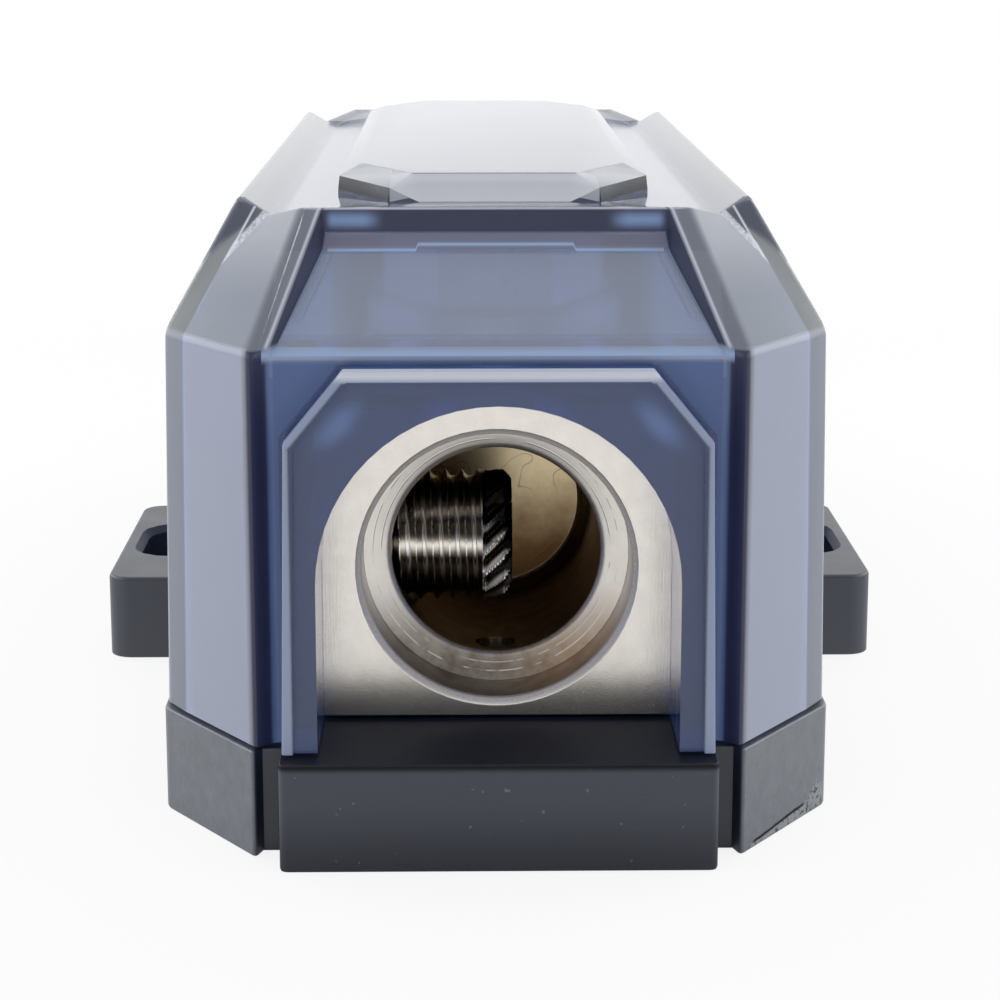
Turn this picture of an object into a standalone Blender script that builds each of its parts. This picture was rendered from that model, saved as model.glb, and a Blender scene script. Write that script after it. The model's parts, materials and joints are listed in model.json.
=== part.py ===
"""ANL fuse holder: black moulded base, smoke-blue cover, two plated terminal blocks and the bolted fuse.

Metres, +Z up, +Y along the length, with the origin under the middle of the base. Both ends are alike:
the rear end is the front one turned half round, so its clamp screw comes from the other side.
"""

from math import cos, hypot, pi, radians, sin, sqrt, tan

import bmesh
import bpy
from mathutils import Matrix

MM = 0.001

# Whole object
BOLT_SETBACK = 25.5 * MM
SEAT_GAP = 0.25 * MM
ROUND_STEPS = 32
NEAR = 0.02 * MM
SHARP_ANGLE = radians(30.0)
CREASE_ANGLE = radians(14.0)

# Base
BASE_HEIGHT = 6.3 * MM
NOSE_HALF = 12.3 * MM
NOSE_LENGTH = 3.6 * MM
WING_INNER_HALF = 13.8 * MM
WING_INNER_SETBACK = 2.4 * MM
GROOVE_WIDTH = 1.1 * MM
BASE_HALF = 19.8 * MM
WING_OUTER_SETBACK = 11.3 * MM
BASE_FLOOR = 2.8 * MM
BASE_WALL = 2.2 * MM
RIB_THICKNESS = 1.6 * MM
POCKET_PITCH = 9.4 * MM
BASE_EDGE_ROUND = 0.45 * MM

# Mounting ears
EAR_HALF = 27.6 * MM
EAR_LENGTH = 24.0 * MM
EAR_DROP = 0.3 * MM
EAR_CORNER_ROUND = 1.6 * MM
EAR_SLOT_WIDTH = 5.2 * MM
EAR_SLOT_LENGTH = 10.0 * MM
EAR_SLOT_EDGE = 1.4 * MM
EAR_SLOT_CHAMFER = 0.5 * MM

# Cover
COVER_WALL = 1.8 * MM
COVER_INSET = 0.2 * MM
COVER_DRAFT = 0.02
HEADROOM = 1.45 * MM
HIP_DROP = 6.6 * MM
SKIN_BAND = 1.25 * MM
SKIN_BAND_RUN = 2.2 * MM
RIDGE_HALF = 15.4 * MM
RIDGE_RISE = 0.4 * MM
RIDGE_SETBACK = 19.4 * MM
RIDGE_STEP = 1.1 * MM
VALLEY_WIDTH = 2.3 * MM
VALLEY_DROP = 1.0 * MM
FRAME_HALF = 11.4 * MM
FRAME_RISE = 0.2 * MM
FRAME_SETBACK = 14.2 * MM
FRAME_BAR = 1.1 * MM
FRAME_BACK_DROP = 0.3 * MM
DECK_HALF = 6.0 * MM
DECK_TAPER = 0.18 * MM
CEILING_HALF = 9.0 * MM
WINDOW_RIM = 0.7 * MM
WINDOW_HEAD_RIM = 1.2 * MM
WINDOW_DRAFT = 0.3
WINDOW_SILL = 0.5 * MM
WINDOW_FOOT_SETBACK = 3.6 * MM
WINDOW_HEAD_DROP = 2.3 * MM
WINDOW_LEDGE = 1.0 * MM
WINDOW_LEDGE_DROP = 1.25 * MM
COVER_EDGE_ROUND = 0.4 * MM

# Raised roof panel
PANEL_HALF = 9.75 * MM
PANEL_FRONT_HALF = 6.4 * MM
PANEL_RAMP_HALF = 4.5 * MM
PANEL_SETBACK = 18.2 * MM
PANEL_SHOULDER_SETBACK = 26.4 * MM
PANEL_RISE = 1.4 * MM
PANEL_EDGE_RISE = 0.85 * MM
PANEL_RAMP = 4.2 * MM
PANEL_BEVEL = 1.4 * MM
PANEL_DRAFT = 0.1 * MM

# Cable hood
HOOD_SETBACK = 1.1 * MM
HOOD_HALF = 12.15 * MM
HOOD_DROP = 7.4 * MM
HOOD_CHAMFER_WIDTH = 3.3 * MM
HOOD_CHAMFER_HEIGHT = 4.0 * MM
HOOD_RIM = 0.55 * MM
HOOD_RIM_DEPTH = 0.35 * MM
ARCH_HALF = 10.15 * MM
ARCH_SPRING_HEIGHT = 16.1 * MM
ARCH_STEPS = 28

# Terminal block
BLOCK_SETBACK = 8.55 * MM
BLOCK_TAIL = 8.05 * MM
BLOCK_HALF = 10.45 * MM
BLOCK_HEIGHT = 24.5 * MM
BLOCK_BOSS_LENGTH = 4.5 * MM
BLOCK_EDGE_ROUND = 0.5 * MM
BORE_HEIGHT = 15.4 * MM
BORE_RADIUS = 6.25 * MM
BORE_DEPTH = 19.0 * MM
BORE_END_RADIUS = 5.5 * MM
BORE_END_TAPER = 1.1 * MM
COUNTERBORE_RADIUS = 7.9 * MM
COUNTERBORE_DEPTH = 4.35 * MM
COUNTERBORE_LIP = 0.35 * MM
THREAD_RADIUS = 4.0 * MM
THREAD_FIT = 0.1 * MM

# Clamp screw
SET_SCREW_SETBACK = 17.4 * MM
SET_SCREW_LENGTH = 12.0 * MM
SET_SCREW_REACH = 1.0 * MM
SET_SCREW_TIP = 1.7 * MM
SET_SCREW_TEETH = 22
SET_SCREW_TWIST = 2.0
SET_SCREW_KEY = 4.0 * MM
SET_SCREW_KEY_DEPTH = 4.0 * MM
CUP_RADIUS = 2.6 * MM
CUP_DEPTH = 1.0 * MM

# Small screw under the block
BLOCK_SCREW_SETBACK = 15.0 * MM
BLOCK_SCREW_RADIUS = 1.1 * MM
BLOCK_SCREW_HEAD = 2.6 * MM
BLOCK_SCREW_HEAD_HEIGHT = 1.8 * MM
BLOCK_SCREW_DRIVE = 1.6 * MM
BLOCK_SCREW_DRIVE_WIDTH = 0.64 * MM
BLOCK_SCREW_DRIVE_DEPTH = 1.0 * MM

# Fuse and its bolts
BOLT_SPACING = 61.0 * MM
BOLT_HEAD_FLATS = 12.0 * MM
BOLT_HEAD_HEIGHT = 4.3 * MM
BOLT_HEAD_CHAMFER = radians(28.0)
BOLT_FACE_RADIUS = 5.7 * MM
BOLT_ROOF = 0.6 * MM
WASHER_RADIUS = 7.9 * MM
WASHER_THICKNESS = 1.4 * MM
WASHER_HOLE = 4.3 * MM
LINK_TAB_END = 10.0 * MM
LINK_HALF = 8.0 * MM
LINK_THICKNESS = 1.4 * MM
LINK_HOLE = 4.3 * MM
LINK_NECK_HALF = 4.0 * MM
LINK_NECK_TAPER = 2.0 * MM
LINK_TAB_ENTRY = 3.0 * MM
ELEMENT_HALF = 1.5 * MM
ELEMENT_LENGTH = 12.0 * MM
FUSE_CLEARANCE = 2.95 * MM
FUSE_HALF = 11.0 * MM
FUSE_HEIGHT = 12.0 * MM
FUSE_CORNER = 1.6 * MM
RIVET_RADIUS = 1.0 * MM
RIVET_HEAD = 1.8 * MM
RIVET_CROWN = 1.44 * MM
RIVET_HEAD_HEIGHT = 0.5 * MM
RIVET_INSET = 3.0 * MM
PANE_LENGTH = 16.0 * MM
PANE_WIDTH = 9.0 * MM
PANE_THICKNESS = 1.0 * MM
PANE_LEDGE = 1.0 * MM

# Heights and places that follow from the sizes above
HALF_LENGTH = BOLT_SPACING / 2 + BOLT_SETBACK
BLOCK_LENGTH = BOLT_SETBACK - BLOCK_SETBACK + BLOCK_TAIL
LINK_LENGTH = BOLT_SPACING + 2 * LINK_TAB_END
FUSE_LENGTH = BOLT_SPACING - 2 * (BLOCK_TAIL + FUSE_CLEARANCE)
EAR_HEIGHT = BASE_HEIGHT - EAR_DROP
COVER_FOOT = BASE_HEIGHT + SEAT_GAP
BLOCK_FOOT = BASE_HEIGHT + SEAT_GAP
LINK_FOOT = BLOCK_HEIGHT + SEAT_GAP
WASHER_FOOT = LINK_FOOT + LINK_THICKNESS + SEAT_GAP
BOLT_FOOT = WASHER_FOOT + WASHER_THICKNESS + SEAT_GAP
FUSE_MIDDLE = LINK_FOOT + LINK_THICKNESS / 2
DECK_HEIGHT = BOLT_FOOT + BOLT_HEAD_HEIGHT + HEADROOM + COVER_WALL
RIDGE_HEIGHT = DECK_HEIGHT + RIDGE_RISE
FRAME_HEIGHT = DECK_HEIGHT + FRAME_RISE
PANEL_HEIGHT = DECK_HEIGHT + PANEL_RISE
VALLEY_HEIGHT = DECK_HEIGHT - VALLEY_DROP
SHOULDER_HEIGHT = DECK_HEIGHT - HIP_DROP
HOOD_HEIGHT = DECK_HEIGHT - HOOD_DROP
WINDOW_HEAD_HEIGHT = DECK_HEIGHT - WINDOW_HEAD_DROP
WINDOW_LEDGE_HEIGHT = DECK_HEIGHT - WINDOW_LEDGE_DROP
WINDOW_FOOT_HEIGHT = HOOD_HEIGHT + WINDOW_SILL
CUT = 5.0 * MM
HALF_TURN = Matrix.Diagonal((-1.0, -1.0, 1.0, 1.0))


def station(setback):
    """World Y of a place measured back from the face of the front nose."""
    return setback - HALF_LENGTH


def clear_scene():
    for item in list(bpy.data.objects):
        bpy.data.objects.remove(item, do_unlink=True)


def material(name, colour, roughness, metallic=0.0, alpha=1.0, transmission=0.0):
    made = bpy.data.materials.new(name)
    made.use_nodes = True
    made.diffuse_color = (*colour, alpha)
    shader = made.node_tree.nodes["Principled BSDF"]
    shader.inputs["Base Color"].default_value = (*colour, 1.0)
    shader.inputs["Roughness"].default_value = roughness
    shader.inputs["Metallic"].default_value = metallic
    shader.inputs["Alpha"].default_value = alpha
    shader.inputs["Transmission Weight"].default_value = transmission
    return made


def add_object(name, mesh, finish):
    """A named object at the origin, from a bmesh, shaded smooth with its edges kept sharp."""
    bmesh.ops.recalc_face_normals(mesh, faces=mesh.faces)
    data = bpy.data.meshes.new(name)
    mesh.to_mesh(data)
    mesh.free()
    data.materials.append(finish)
    data.shade_smooth()
    data.set_sharp_from_angle(angle=SHARP_ANGLE)
    made = bpy.data.objects.new(name, data)
    bpy.context.scene.collection.objects.link(made)
    return made


def combine(target, tool_mesh, operation):
    """Applies one exact Boolean to an object and removes the tool."""
    tool = add_object("tool", tool_mesh, target.data.materials[0])
    modifier = target.modifiers.new(operation.lower(), "BOOLEAN")
    modifier.operation = operation
    modifier.solver = "EXACT"
    modifier.object = tool
    graph = bpy.context.evaluated_depsgraph_get()
    result = bpy.data.meshes.new_from_object(target.evaluated_get(graph))
    target.modifiers.remove(modifier)
    old, name = target.data, target.data.name
    target.data = result
    bpy.data.meshes.remove(old)
    result.name = name
    tool_data = tool.data
    bpy.data.objects.remove(tool, do_unlink=True)
    bpy.data.meshes.remove(tool_data)
    result.set_sharp_from_angle(angle=SHARP_ANGLE)


def cut(target, tool_mesh):
    combine(target, tool_mesh, "DIFFERENCE")


def join(target, tool_mesh):
    combine(target, tool_mesh, "UNION")


def loft(rings):
    """A closed solid through rings of equally many points, with flat ends."""
    mesh = bmesh.new()
    loops = [[mesh.verts.new(point) for point in ring] for ring in rings]
    count = len(loops[0])
    for lower, upper in zip(loops, loops[1:]):
        for i in range(count):
            j = (i + 1) % count
            mesh.faces.new((lower[i], lower[j], upper[j], upper[i]))
    mesh.faces.new(list(reversed(loops[0])))
    mesh.faces.new(loops[-1])
    return mesh


def prism_z(outline, low, high):
    """An upright solid from an outline of (x, y) points."""
    return loft([[(x, y, z) for x, y in outline] for z in (low, high)])


def prism_y(outline, low, high):
    """A solid along Y from an outline of (x, z) points."""
    return loft([[(x, y, z) for x, z in outline] for y in (low, high)])


def turned(profile, steps=ROUND_STEPS):
    """A solid turned about Z from (radius, z) points, listed from its foot to its top."""
    rings = []
    for radius, z in profile:
        angles = [2 * pi * (i + 0.5) / steps for i in range(steps)]
        rings.append([(radius * cos(a), radius * sin(a), z) for a in angles])
    return loft(rings)


def box(low, high):
    outline = [(low[0], low[1]), (high[0], low[1]), (high[0], high[1]), (low[0], high[1])]
    return prism_z(outline, low[2], high[2])


def moved(mesh, matrix):
    bmesh.ops.transform(mesh, matrix=matrix, verts=mesh.verts)
    return mesh


def turned_round(mesh):
    """The same mesh at the rear end: half a turn about Z."""
    return moved(mesh, HALF_TURN)


def round_edges(mesh, width, segments, chosen):
    edges = [edge for edge in mesh.edges if chosen(edge)]
    bmesh.ops.bevel(
        mesh, geom=edges, offset=width, segments=segments, profile=0.5, affect="EDGES", clamp_overlap=True
    )
    return mesh


def is_upright(edge):
    span = edge.verts[1].co - edge.verts[0].co
    return abs(span.z) > 0.9 * span.length


def is_level_at(height):
    return lambda edge: all(abs(vert.co.z - height) < NEAR for vert in edge.verts)


def all_round(quarter):
    """A closed outline from the quarter at +X and the front, listed from the nose towards mid-length."""
    side = list(quarter) + [(x, -y, *rest) for x, y, *rest in reversed(quarter)]
    return side + [(-x, y, *rest) for x, y, *rest in reversed(side)]


def at_fraction(start, end, fraction):
    return tuple(a + (b - a) * fraction for a, b in zip(start, end))


# Base


def base_quarter():
    """Nose, groove, chamfered wing, side and ear of the base, seen from above."""
    return [
        (NOSE_HALF, station(0.0)),
        (NOSE_HALF, station(NOSE_LENGTH)),
        (NOSE_HALF + GROOVE_WIDTH, station(NOSE_LENGTH)),
        (WING_INNER_HALF, station(WING_INNER_SETBACK)),
        (BASE_HALF, station(WING_OUTER_SETBACK)),
        (BASE_HALF, -EAR_LENGTH / 2),
        (EAR_HALF, -EAR_LENGTH / 2),
    ]


def ear_slot_centre():
    return EAR_HALF - EAR_SLOT_EDGE - EAR_SLOT_WIDTH / 2


def slot_outline(grow):
    """An upright slot with round ends, as wide as the mounting slot plus a margin."""
    radius = EAR_SLOT_WIDTH / 2 + grow
    reach = (EAR_SLOT_LENGTH - EAR_SLOT_WIDTH) / 2
    steps = ROUND_STEPS // 4
    points = []
    for turn, shift in ((0, reach), (pi, -reach)):
        for i in range(steps + 1):
            angle = turn + pi * i / steps
            points.append((radius * cos(angle), shift + radius * sin(angle)))
    return points


def slot_cutter(side):
    """Through slot with a small chamfer at its top."""
    top = EAR_HEIGHT
    wide = EAR_SLOT_CHAMFER
    levels = [(-CUT, 0.0), (top - wide, 0.0), (top, wide), (top + CUT, wide)]
    centre = side * ear_slot_centre()
    return loft([[(centre + x, y, z) for x, y in slot_outline(grow)] for z, grow in levels])


def is_upright_at(half, setback):
    """True for the upright edges of the four like corners at a half width and a setback."""

    def chosen(edge):
        place = edge.verts[0].co
        across = abs(abs(place.x) - half)
        along = abs(abs(place.y) + station(setback))
        return max(across, along) < NEAR and is_upright(edge)

    return chosen


def base_half_at(setback):
    """Half the width of the base at a distance behind the nose face."""
    if setback < WING_OUTER_SETBACK:
        run = (setback - WING_INNER_SETBACK) / (WING_OUTER_SETBACK - WING_INNER_SETBACK)
        return max(NOSE_HALF, WING_INNER_HALF + (BASE_HALF - WING_INNER_HALF) * run)
    return BASE_HALF


def pockets():
    """The cored-out cells of the underside, left whole round the two block screws."""
    mesh = bmesh.new()
    rows = int((HALF_LENGTH - BASE_WALL) / POCKET_PITCH)
    columns = int((BASE_HALF - BASE_WALL) / POCKET_PITCH) + 1
    size = POCKET_PITCH - RIB_THICKNESS
    screw_y = abs(station(BLOCK_SCREW_SETBACK))
    screw_clear = (size + BLOCK_SCREW_HEAD) / 2 + BASE_WALL
    for row in range(-rows, rows):
        low_y = row * POCKET_PITCH + RIB_THICKNESS / 2
        setback = HALF_LENGTH - max(abs(low_y), abs(low_y + size))
        limit = base_half_at(setback) - BASE_WALL
        for column in range(columns):
            low_x = column * POCKET_PITCH + RIB_THICKNESS / 2
            high_x = min(low_x + size, limit)
            near_screw = column == 0 and abs(abs(low_y + size / 2) - screw_y) < screw_clear
            if setback < BASE_WALL or high_x - low_x < size / 2 or near_screw:
                continue
            for side in (-1, 1):
                xs = sorted((side * low_x, side * high_x))
                cell = box((xs[0], low_y, -CUT), (xs[1], low_y + size, BASE_HEIGHT - BASE_FLOOR))
                data = bpy.data.meshes.new("cell")
                cell.to_mesh(data)
                cell.free()
                mesh.from_mesh(data)
                bpy.data.meshes.remove(data)
    return mesh


def block_screw_hole():
    """Stepped hole under a block: a wide seat for the head and a free hole for the shank."""
    seat = BLOCK_SCREW_HEAD + SEAT_GAP
    free = BLOCK_SCREW_RADIUS + SEAT_GAP
    step = screw_head_foot() + BLOCK_SCREW_HEAD_HEIGHT + SEAT_GAP
    profile = [(seat, -CUT), (seat, step), (free, step), (free, BASE_HEIGHT + CUT)]
    return moved(turned(profile), Matrix.Translation((0.0, station(BLOCK_SCREW_SETBACK), 0.0)))


def block_rails():
    """Two low ribs that hold a block sideways."""
    rails = []
    inner = BLOCK_HALF + SEAT_GAP
    first = station(BLOCK_SETBACK + BLOCK_BOSS_LENGTH)
    last = station(BLOCK_SETBACK + BLOCK_LENGTH)
    top = BASE_HEIGHT + RIB_THICKNESS
    for side in (-1, 1):
        xs = sorted((side * inner, side * (inner + RIB_THICKNESS)))
        rails.append(box((xs[0], first, BASE_HEIGHT - BASE_FLOOR / 2), (xs[1], last, top)))
    return rails


def cover_ribs():
    """Long low ribs inside the cover's side walls, which keep the cover in line."""
    ribs = []
    outer = BASE_HALF - COVER_INSET - COVER_WALL - SEAT_GAP
    reach = HALF_LENGTH - RIDGE_SETBACK
    for side in (-1, 1):
        xs = sorted((side * outer, side * (outer - RIB_THICKNESS)))
        low = (xs[0], -reach, BASE_HEIGHT - BASE_FLOOR / 2)
        ribs.append(box(low, (xs[1], reach, BASE_HEIGHT + RIB_THICKNESS)))
    return ribs


def base_blank():
    """The base before rounding: ears a little lower than the shelf that the cover stands on."""
    quarter = base_quarter()
    shelf = [(min(x, BASE_HALF), y) for x, y in quarter]
    levels = [(quarter, 0.0), (quarter, EAR_HEIGHT), (shelf, EAR_HEIGHT), (shelf, BASE_HEIGHT)]
    mesh = loft([[(x, y, z) for x, y in all_round(points)] for points, z in levels])
    bmesh.ops.remove_doubles(mesh, verts=mesh.verts, dist=NEAR)
    bmesh.ops.dissolve_limit(mesh, angle_limit=CREASE_ANGLE, verts=mesh.verts, edges=mesh.edges)
    bmesh.ops.recalc_face_normals(mesh, faces=mesh.faces)
    return mesh


def is_ear_rim(edge):
    """True for the outer top edges of the ears."""
    middle = abs(edge.verts[0].co.x + edge.verts[1].co.x) / 2
    return middle > BASE_HALF + NEAR and is_level_at(EAR_HEIGHT)(edge)


def make_base(finish):
    mesh = base_blank()
    round_edges(mesh, BASE_EDGE_ROUND, 3, is_upright_at(NOSE_HALF, 0.0))
    round_edges(mesh, BASE_EDGE_ROUND, 3, is_upright_at(WING_INNER_HALF, WING_INNER_SETBACK))
    round_edges(mesh, BASE_EDGE_ROUND, 3, is_upright_at(BASE_HALF, WING_OUTER_SETBACK))
    round_edges(mesh, EAR_CORNER_ROUND, 5, is_upright_at(EAR_HALF, HALF_LENGTH - EAR_LENGTH / 2))
    round_edges(mesh, BASE_EDGE_ROUND / 2, 2, is_level_at(BASE_HEIGHT))
    round_edges(mesh, BASE_EDGE_ROUND / 2, 2, is_ear_rim)
    round_edges(mesh, BASE_EDGE_ROUND / 2, 2, is_level_at(0.0))
    base = add_object("base_tray", mesh, finish)
    cut(base, pockets())
    for side in (-1, 1):
        cut(base, slot_cutter(side))
    cut(base, block_screw_hole())
    cut(base, turned_round(block_screw_hole()))
    for rail in block_rails() + cover_ribs():
        join(base, rail)
    for rail in block_rails():
        join(base, turned_round(rail))
    return base


# Cover


def chamfer_point(half, inset):
    """A plan point on the chamfered corner line of the base, set back by an inset."""
    slope = (WING_OUTER_SETBACK - WING_INNER_SETBACK) / (BASE_HALF - WING_INNER_HALF)
    return WING_INNER_SETBACK + inset * sqrt(1 + slope * slope) + (half - WING_INNER_HALF) * slope


def cover_levels():
    """Quarter points of the cover's outside, as (x, setback, z), at its foot, shoulder, mid hip and top.

    Each level lists the return beside the hood, the inner corner, and both edges of the narrow band that
    turns the corner to the side wall.
    """
    side = BASE_HALF - COVER_INSET
    drafted = side - COVER_DRAFT * (SHOULDER_HEIGHT - COVER_FOOT)
    corner = WING_INNER_HALF - COVER_INSET
    hood_return = NOSE_HALF + GROOVE_WIDTH / 2

    def level(side_half, height):
        band = side_half - SKIN_BAND
        return [
            (hood_return, WING_INNER_SETBACK + GROOVE_WIDTH, height),
            (corner, chamfer_point(corner, COVER_INSET), height),
            (band, chamfer_point(band, COVER_INSET), height),
            (side_half, chamfer_point(band, COVER_INSET) + SKIN_BAND_RUN, height),
        ]

    foot = level(side, COVER_FOOT)
    shoulder = level(drafted, SHOULDER_HEIGHT)
    top = [
        (FRAME_HALF - WINDOW_RIM, FRAME_SETBACK + FRAME_BAR / 3, FRAME_HEIGHT),
        (FRAME_HALF, FRAME_SETBACK, FRAME_HEIGHT),
        (RIDGE_HALF - SKIN_BAND, RIDGE_SETBACK - SKIN_BAND, RIDGE_HEIGHT),
        (RIDGE_HALF, RIDGE_SETBACK, RIDGE_HEIGHT),
    ]
    middle = [at_fraction(low, high, 0.5) for low, high in zip(shoulder, top)]
    x, setback, z = top[2]
    top[2] = (x, setback, z - RIDGE_STEP)
    return foot, shoulder, middle, top


def placed(quarter):
    """Quarter points with their setbacks turned into world Y, carried all round."""
    return all_round([(x, station(setback), z) for x, setback, z in quarter])


def cover_outside():
    """Faceted body: upright walls, sloping hips, two ridges, the valleys beside them and the deck."""
    foot, shoulder, middle, top = cover_levels()
    bar_back = FRAME_SETBACK + FRAME_BAR
    valley = RIDGE_HALF - VALLEY_WIDTH
    bar_foot = FRAME_HEIGHT - FRAME_BACK_DROP
    back_of_bar = [
        (FRAME_HALF - 2 * WINDOW_RIM, bar_back, bar_foot),
        (FRAME_HALF - WINDOW_RIM, bar_back + FRAME_BAR / 3, bar_foot),
        (valley, RIDGE_SETBACK - SKIN_BAND / 2, VALLEY_HEIGHT),
        (valley, RIDGE_SETBACK + VALLEY_WIDTH, VALLEY_HEIGHT),
    ]
    deck = [
        (DECK_HALF - 2 * DECK_TAPER, bar_back + FRAME_BAR / 2, DECK_HEIGHT),
        (DECK_HALF - DECK_TAPER, bar_back + FRAME_BAR, DECK_HEIGHT),
        (DECK_HALF, RIDGE_SETBACK, DECK_HEIGHT),
        (DECK_HALF, RIDGE_SETBACK + VALLEY_WIDTH, DECK_HEIGHT),
    ]
    mesh = loft([placed(quarter) for quarter in (foot, shoulder, middle, top, back_of_bar, deck)])
    bmesh.ops.triangulate(mesh, faces=[face for face in mesh.faces if len(face.verts) == 4])
    bmesh.ops.recalc_face_normals(mesh, faces=mesh.faces)

    def is_corner(edge):
        return edge.calc_face_angle(0.0) > CREASE_ANGLE and not is_level_at(COVER_FOOT)(edge)

    bmesh.ops.dissolve_limit(mesh, angle_limit=radians(0.5), verts=mesh.verts, edges=mesh.edges)
    return round_edges(mesh, COVER_EDGE_ROUND, 2, is_corner)


def meet(point_a, way_a, point_b, way_b):
    """Where two plan lines cross."""
    cross = way_a[0] * way_b[1] - way_a[1] * way_b[0]
    run = ((point_b[0] - point_a[0]) * way_b[1] - (point_b[1] - point_a[1]) * way_b[0]) / cross
    return (point_a[0] + way_a[0] * run, point_a[1] + way_a[1] * run)


def plan_at(height):
    """Plan corners of the cover's outside at a height: where hip and front meet, and both band edges."""
    foot, shoulder, _, top = cover_levels()
    x, setback, z = top[2]
    top = top[:2] + [(x, setback, z + RIDGE_STEP)] + top[3:]
    lower, upper = (foot, shoulder) if height < SHOULDER_HEIGHT else (shoulder, top)
    points = []
    for low, high in zip(lower, upper):
        fraction = (height - low[2]) / (high[2] - low[2])
        points.append(at_fraction(low, high, fraction)[:2])
    front, corner, band, side = points
    way = (band[0] - corner[0], band[1] - corner[1])
    return [meet((0.0, front[1]), (1.0, 0.0), corner, way), band, side]


def inner_level(height):
    """Quarter points of the cavity at a height, each wall moved in by its thickness along its normal."""
    here, above = plan_at(height), plan_at(height + MM)
    here = [(0.0, here[0][1])] + here + [(here[2][0], here[2][1] + 1.0)]
    above = [(0.0, above[0][1])] + above + [(above[2][0], above[2][1] + 1.0)]
    lines = []
    for i in range(len(here) - 1):
        way = (here[i + 1][0] - here[i][0], here[i + 1][1] - here[i][1])
        size = hypot(*way)
        way = (way[0] / size, way[1] / size)
        inward = (-way[1], way[0])
        shift = (above[i][0] - here[i][0], above[i][1] - here[i][1])
        lean = (shift[0] * inward[0] + shift[1] * inward[1]) / MM
        depth = COVER_WALL * sqrt(1 + lean * lean)
        lines.append(((here[i][0] + inward[0] * depth, here[i][1] + inward[1] * depth), way))
    corners = [meet(*lines[i], *lines[i + 1]) for i in range(len(lines) - 1)]
    if corners[1][0] - corners[0][0] < 2 * NEAR:
        x, setback = meet(*lines[0], *lines[2])
        corners[:2] = [(x - 2 * NEAR, setback), (x, setback)]
    return [(x, setback, height) for x, setback in corners]


def offset_corners(profile, grow):
    """Corners of a (setback, height) profile moved back and down by a thickness, without its two ends."""
    lines = []
    for (back, height), (next_back, next_height) in zip(profile, profile[1:]):
        way = (next_back - back, next_height - height)
        size = hypot(*way)
        start = (back + grow * way[1] / size, height - grow * way[0] / size)
        lines.append((start, way))
    return [meet(*line, *following) for line, following in zip(lines, lines[1:])]


def window_half(setback, height):
    """Half the width of the recess, which narrows with its depth behind the sloping front."""
    corner = WING_INNER_HALF - COVER_INSET
    fraction = (FRAME_HEIGHT - height) / (FRAME_HEIGHT - SHOULDER_HEIGHT)
    head, foot = FRAME_HALF - WINDOW_HEAD_RIM, corner - WINDOW_RIM
    front = FRAME_SETBACK + (chamfer_point(corner, COVER_INSET) - FRAME_SETBACK) * fraction
    return head + (foot - head) * fraction - WINDOW_DRAFT * (setback - front)


def window_recess(grow):
    """The space in front of the window, its ledge and the frame's bar. The cavity stays clear of it, grown."""
    high = PANEL_HEIGHT + CUT
    profile = [
        (-CUT, WINDOW_FOOT_HEIGHT),
        (WINDOW_FOOT_SETBACK, WINDOW_FOOT_HEIGHT),
        (FRAME_SETBACK - WINDOW_LEDGE, WINDOW_HEAD_HEIGHT),
        (FRAME_SETBACK, WINDOW_LEDGE_HEIGHT),
        (FRAME_SETBACK, high),
    ]
    rings = []
    for back, height in offset_corners(profile, grow) + [(FRAME_SETBACK + grow, high)]:
        front_half = window_half(-CUT, height) + grow
        rear_half = window_half(back, height) + grow
        front, rear = station(-CUT), station(back)
        corners = ((-front_half, front), (front_half, front), (rear_half, rear), (-rear_half, rear))
        rings.append([(x, y, height) for x, y in corners])
    return loft(rings)


def cavity(finish):
    """The hollow under the cover, clear of the recessed windows by one wall."""
    ceiling = VALLEY_HEIGHT - COVER_WALL
    inside = DECK_HEIGHT - COVER_WALL
    levels = [inner_level(COVER_FOOT - SEAT_GAP), inner_level(SHOULDER_HEIGHT), inner_level(ceiling)]
    foot = [(x, setback, COVER_FOOT - CUT) for x, setback, _ in levels[0]]
    back = FRAME_SETBACK + FRAME_BAR + COVER_WALL
    vault = [
        (CEILING_HALF, back, inside),
        (CEILING_HALF + DECK_TAPER, back + COVER_WALL, inside),
        (CEILING_HALF + 2 * DECK_TAPER, back + 2 * COVER_WALL, inside),
    ]
    hollow = add_object("cavity", loft([placed(q) for q in [foot] + levels[1:] + [vault]]), finish)
    cut(hollow, window_recess(COVER_WALL))
    cut(hollow, turned_round(window_recess(COVER_WALL)))
    mesh = bmesh.new()
    mesh.from_mesh(hollow.data)
    bpy.data.objects.remove(hollow, do_unlink=True)
    return mesh


def hood_outline(inset):
    foot = COVER_FOOT - (CUT if inset else 0.0)
    half = HOOD_HALF - inset
    mitre = inset * tan(pi / 8)
    lean = COVER_DRAFT * (HOOD_HEIGHT - HOOD_CHAMFER_HEIGHT - COVER_FOOT)
    shoulder = HOOD_HEIGHT - HOOD_CHAMFER_HEIGHT - mitre
    top_half = HOOD_HALF - lean - HOOD_CHAMFER_WIDTH - mitre
    right = [(half, foot), (half - lean, shoulder), (top_half, HOOD_HEIGHT - inset)]
    return right + [(-x, z) for x, z in reversed(right)]


def arch_outline():
    points = [(ARCH_HALF, COVER_FOOT - CUT)]
    for i in range(ARCH_STEPS + 1):
        angle = pi * i / ARCH_STEPS
        points.append((ARCH_HALF * cos(angle), ARCH_SPRING_HEIGHT + ARCH_HALF * sin(angle)))
    return points + [(-ARCH_HALF, COVER_FOOT - CUT)]


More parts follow.
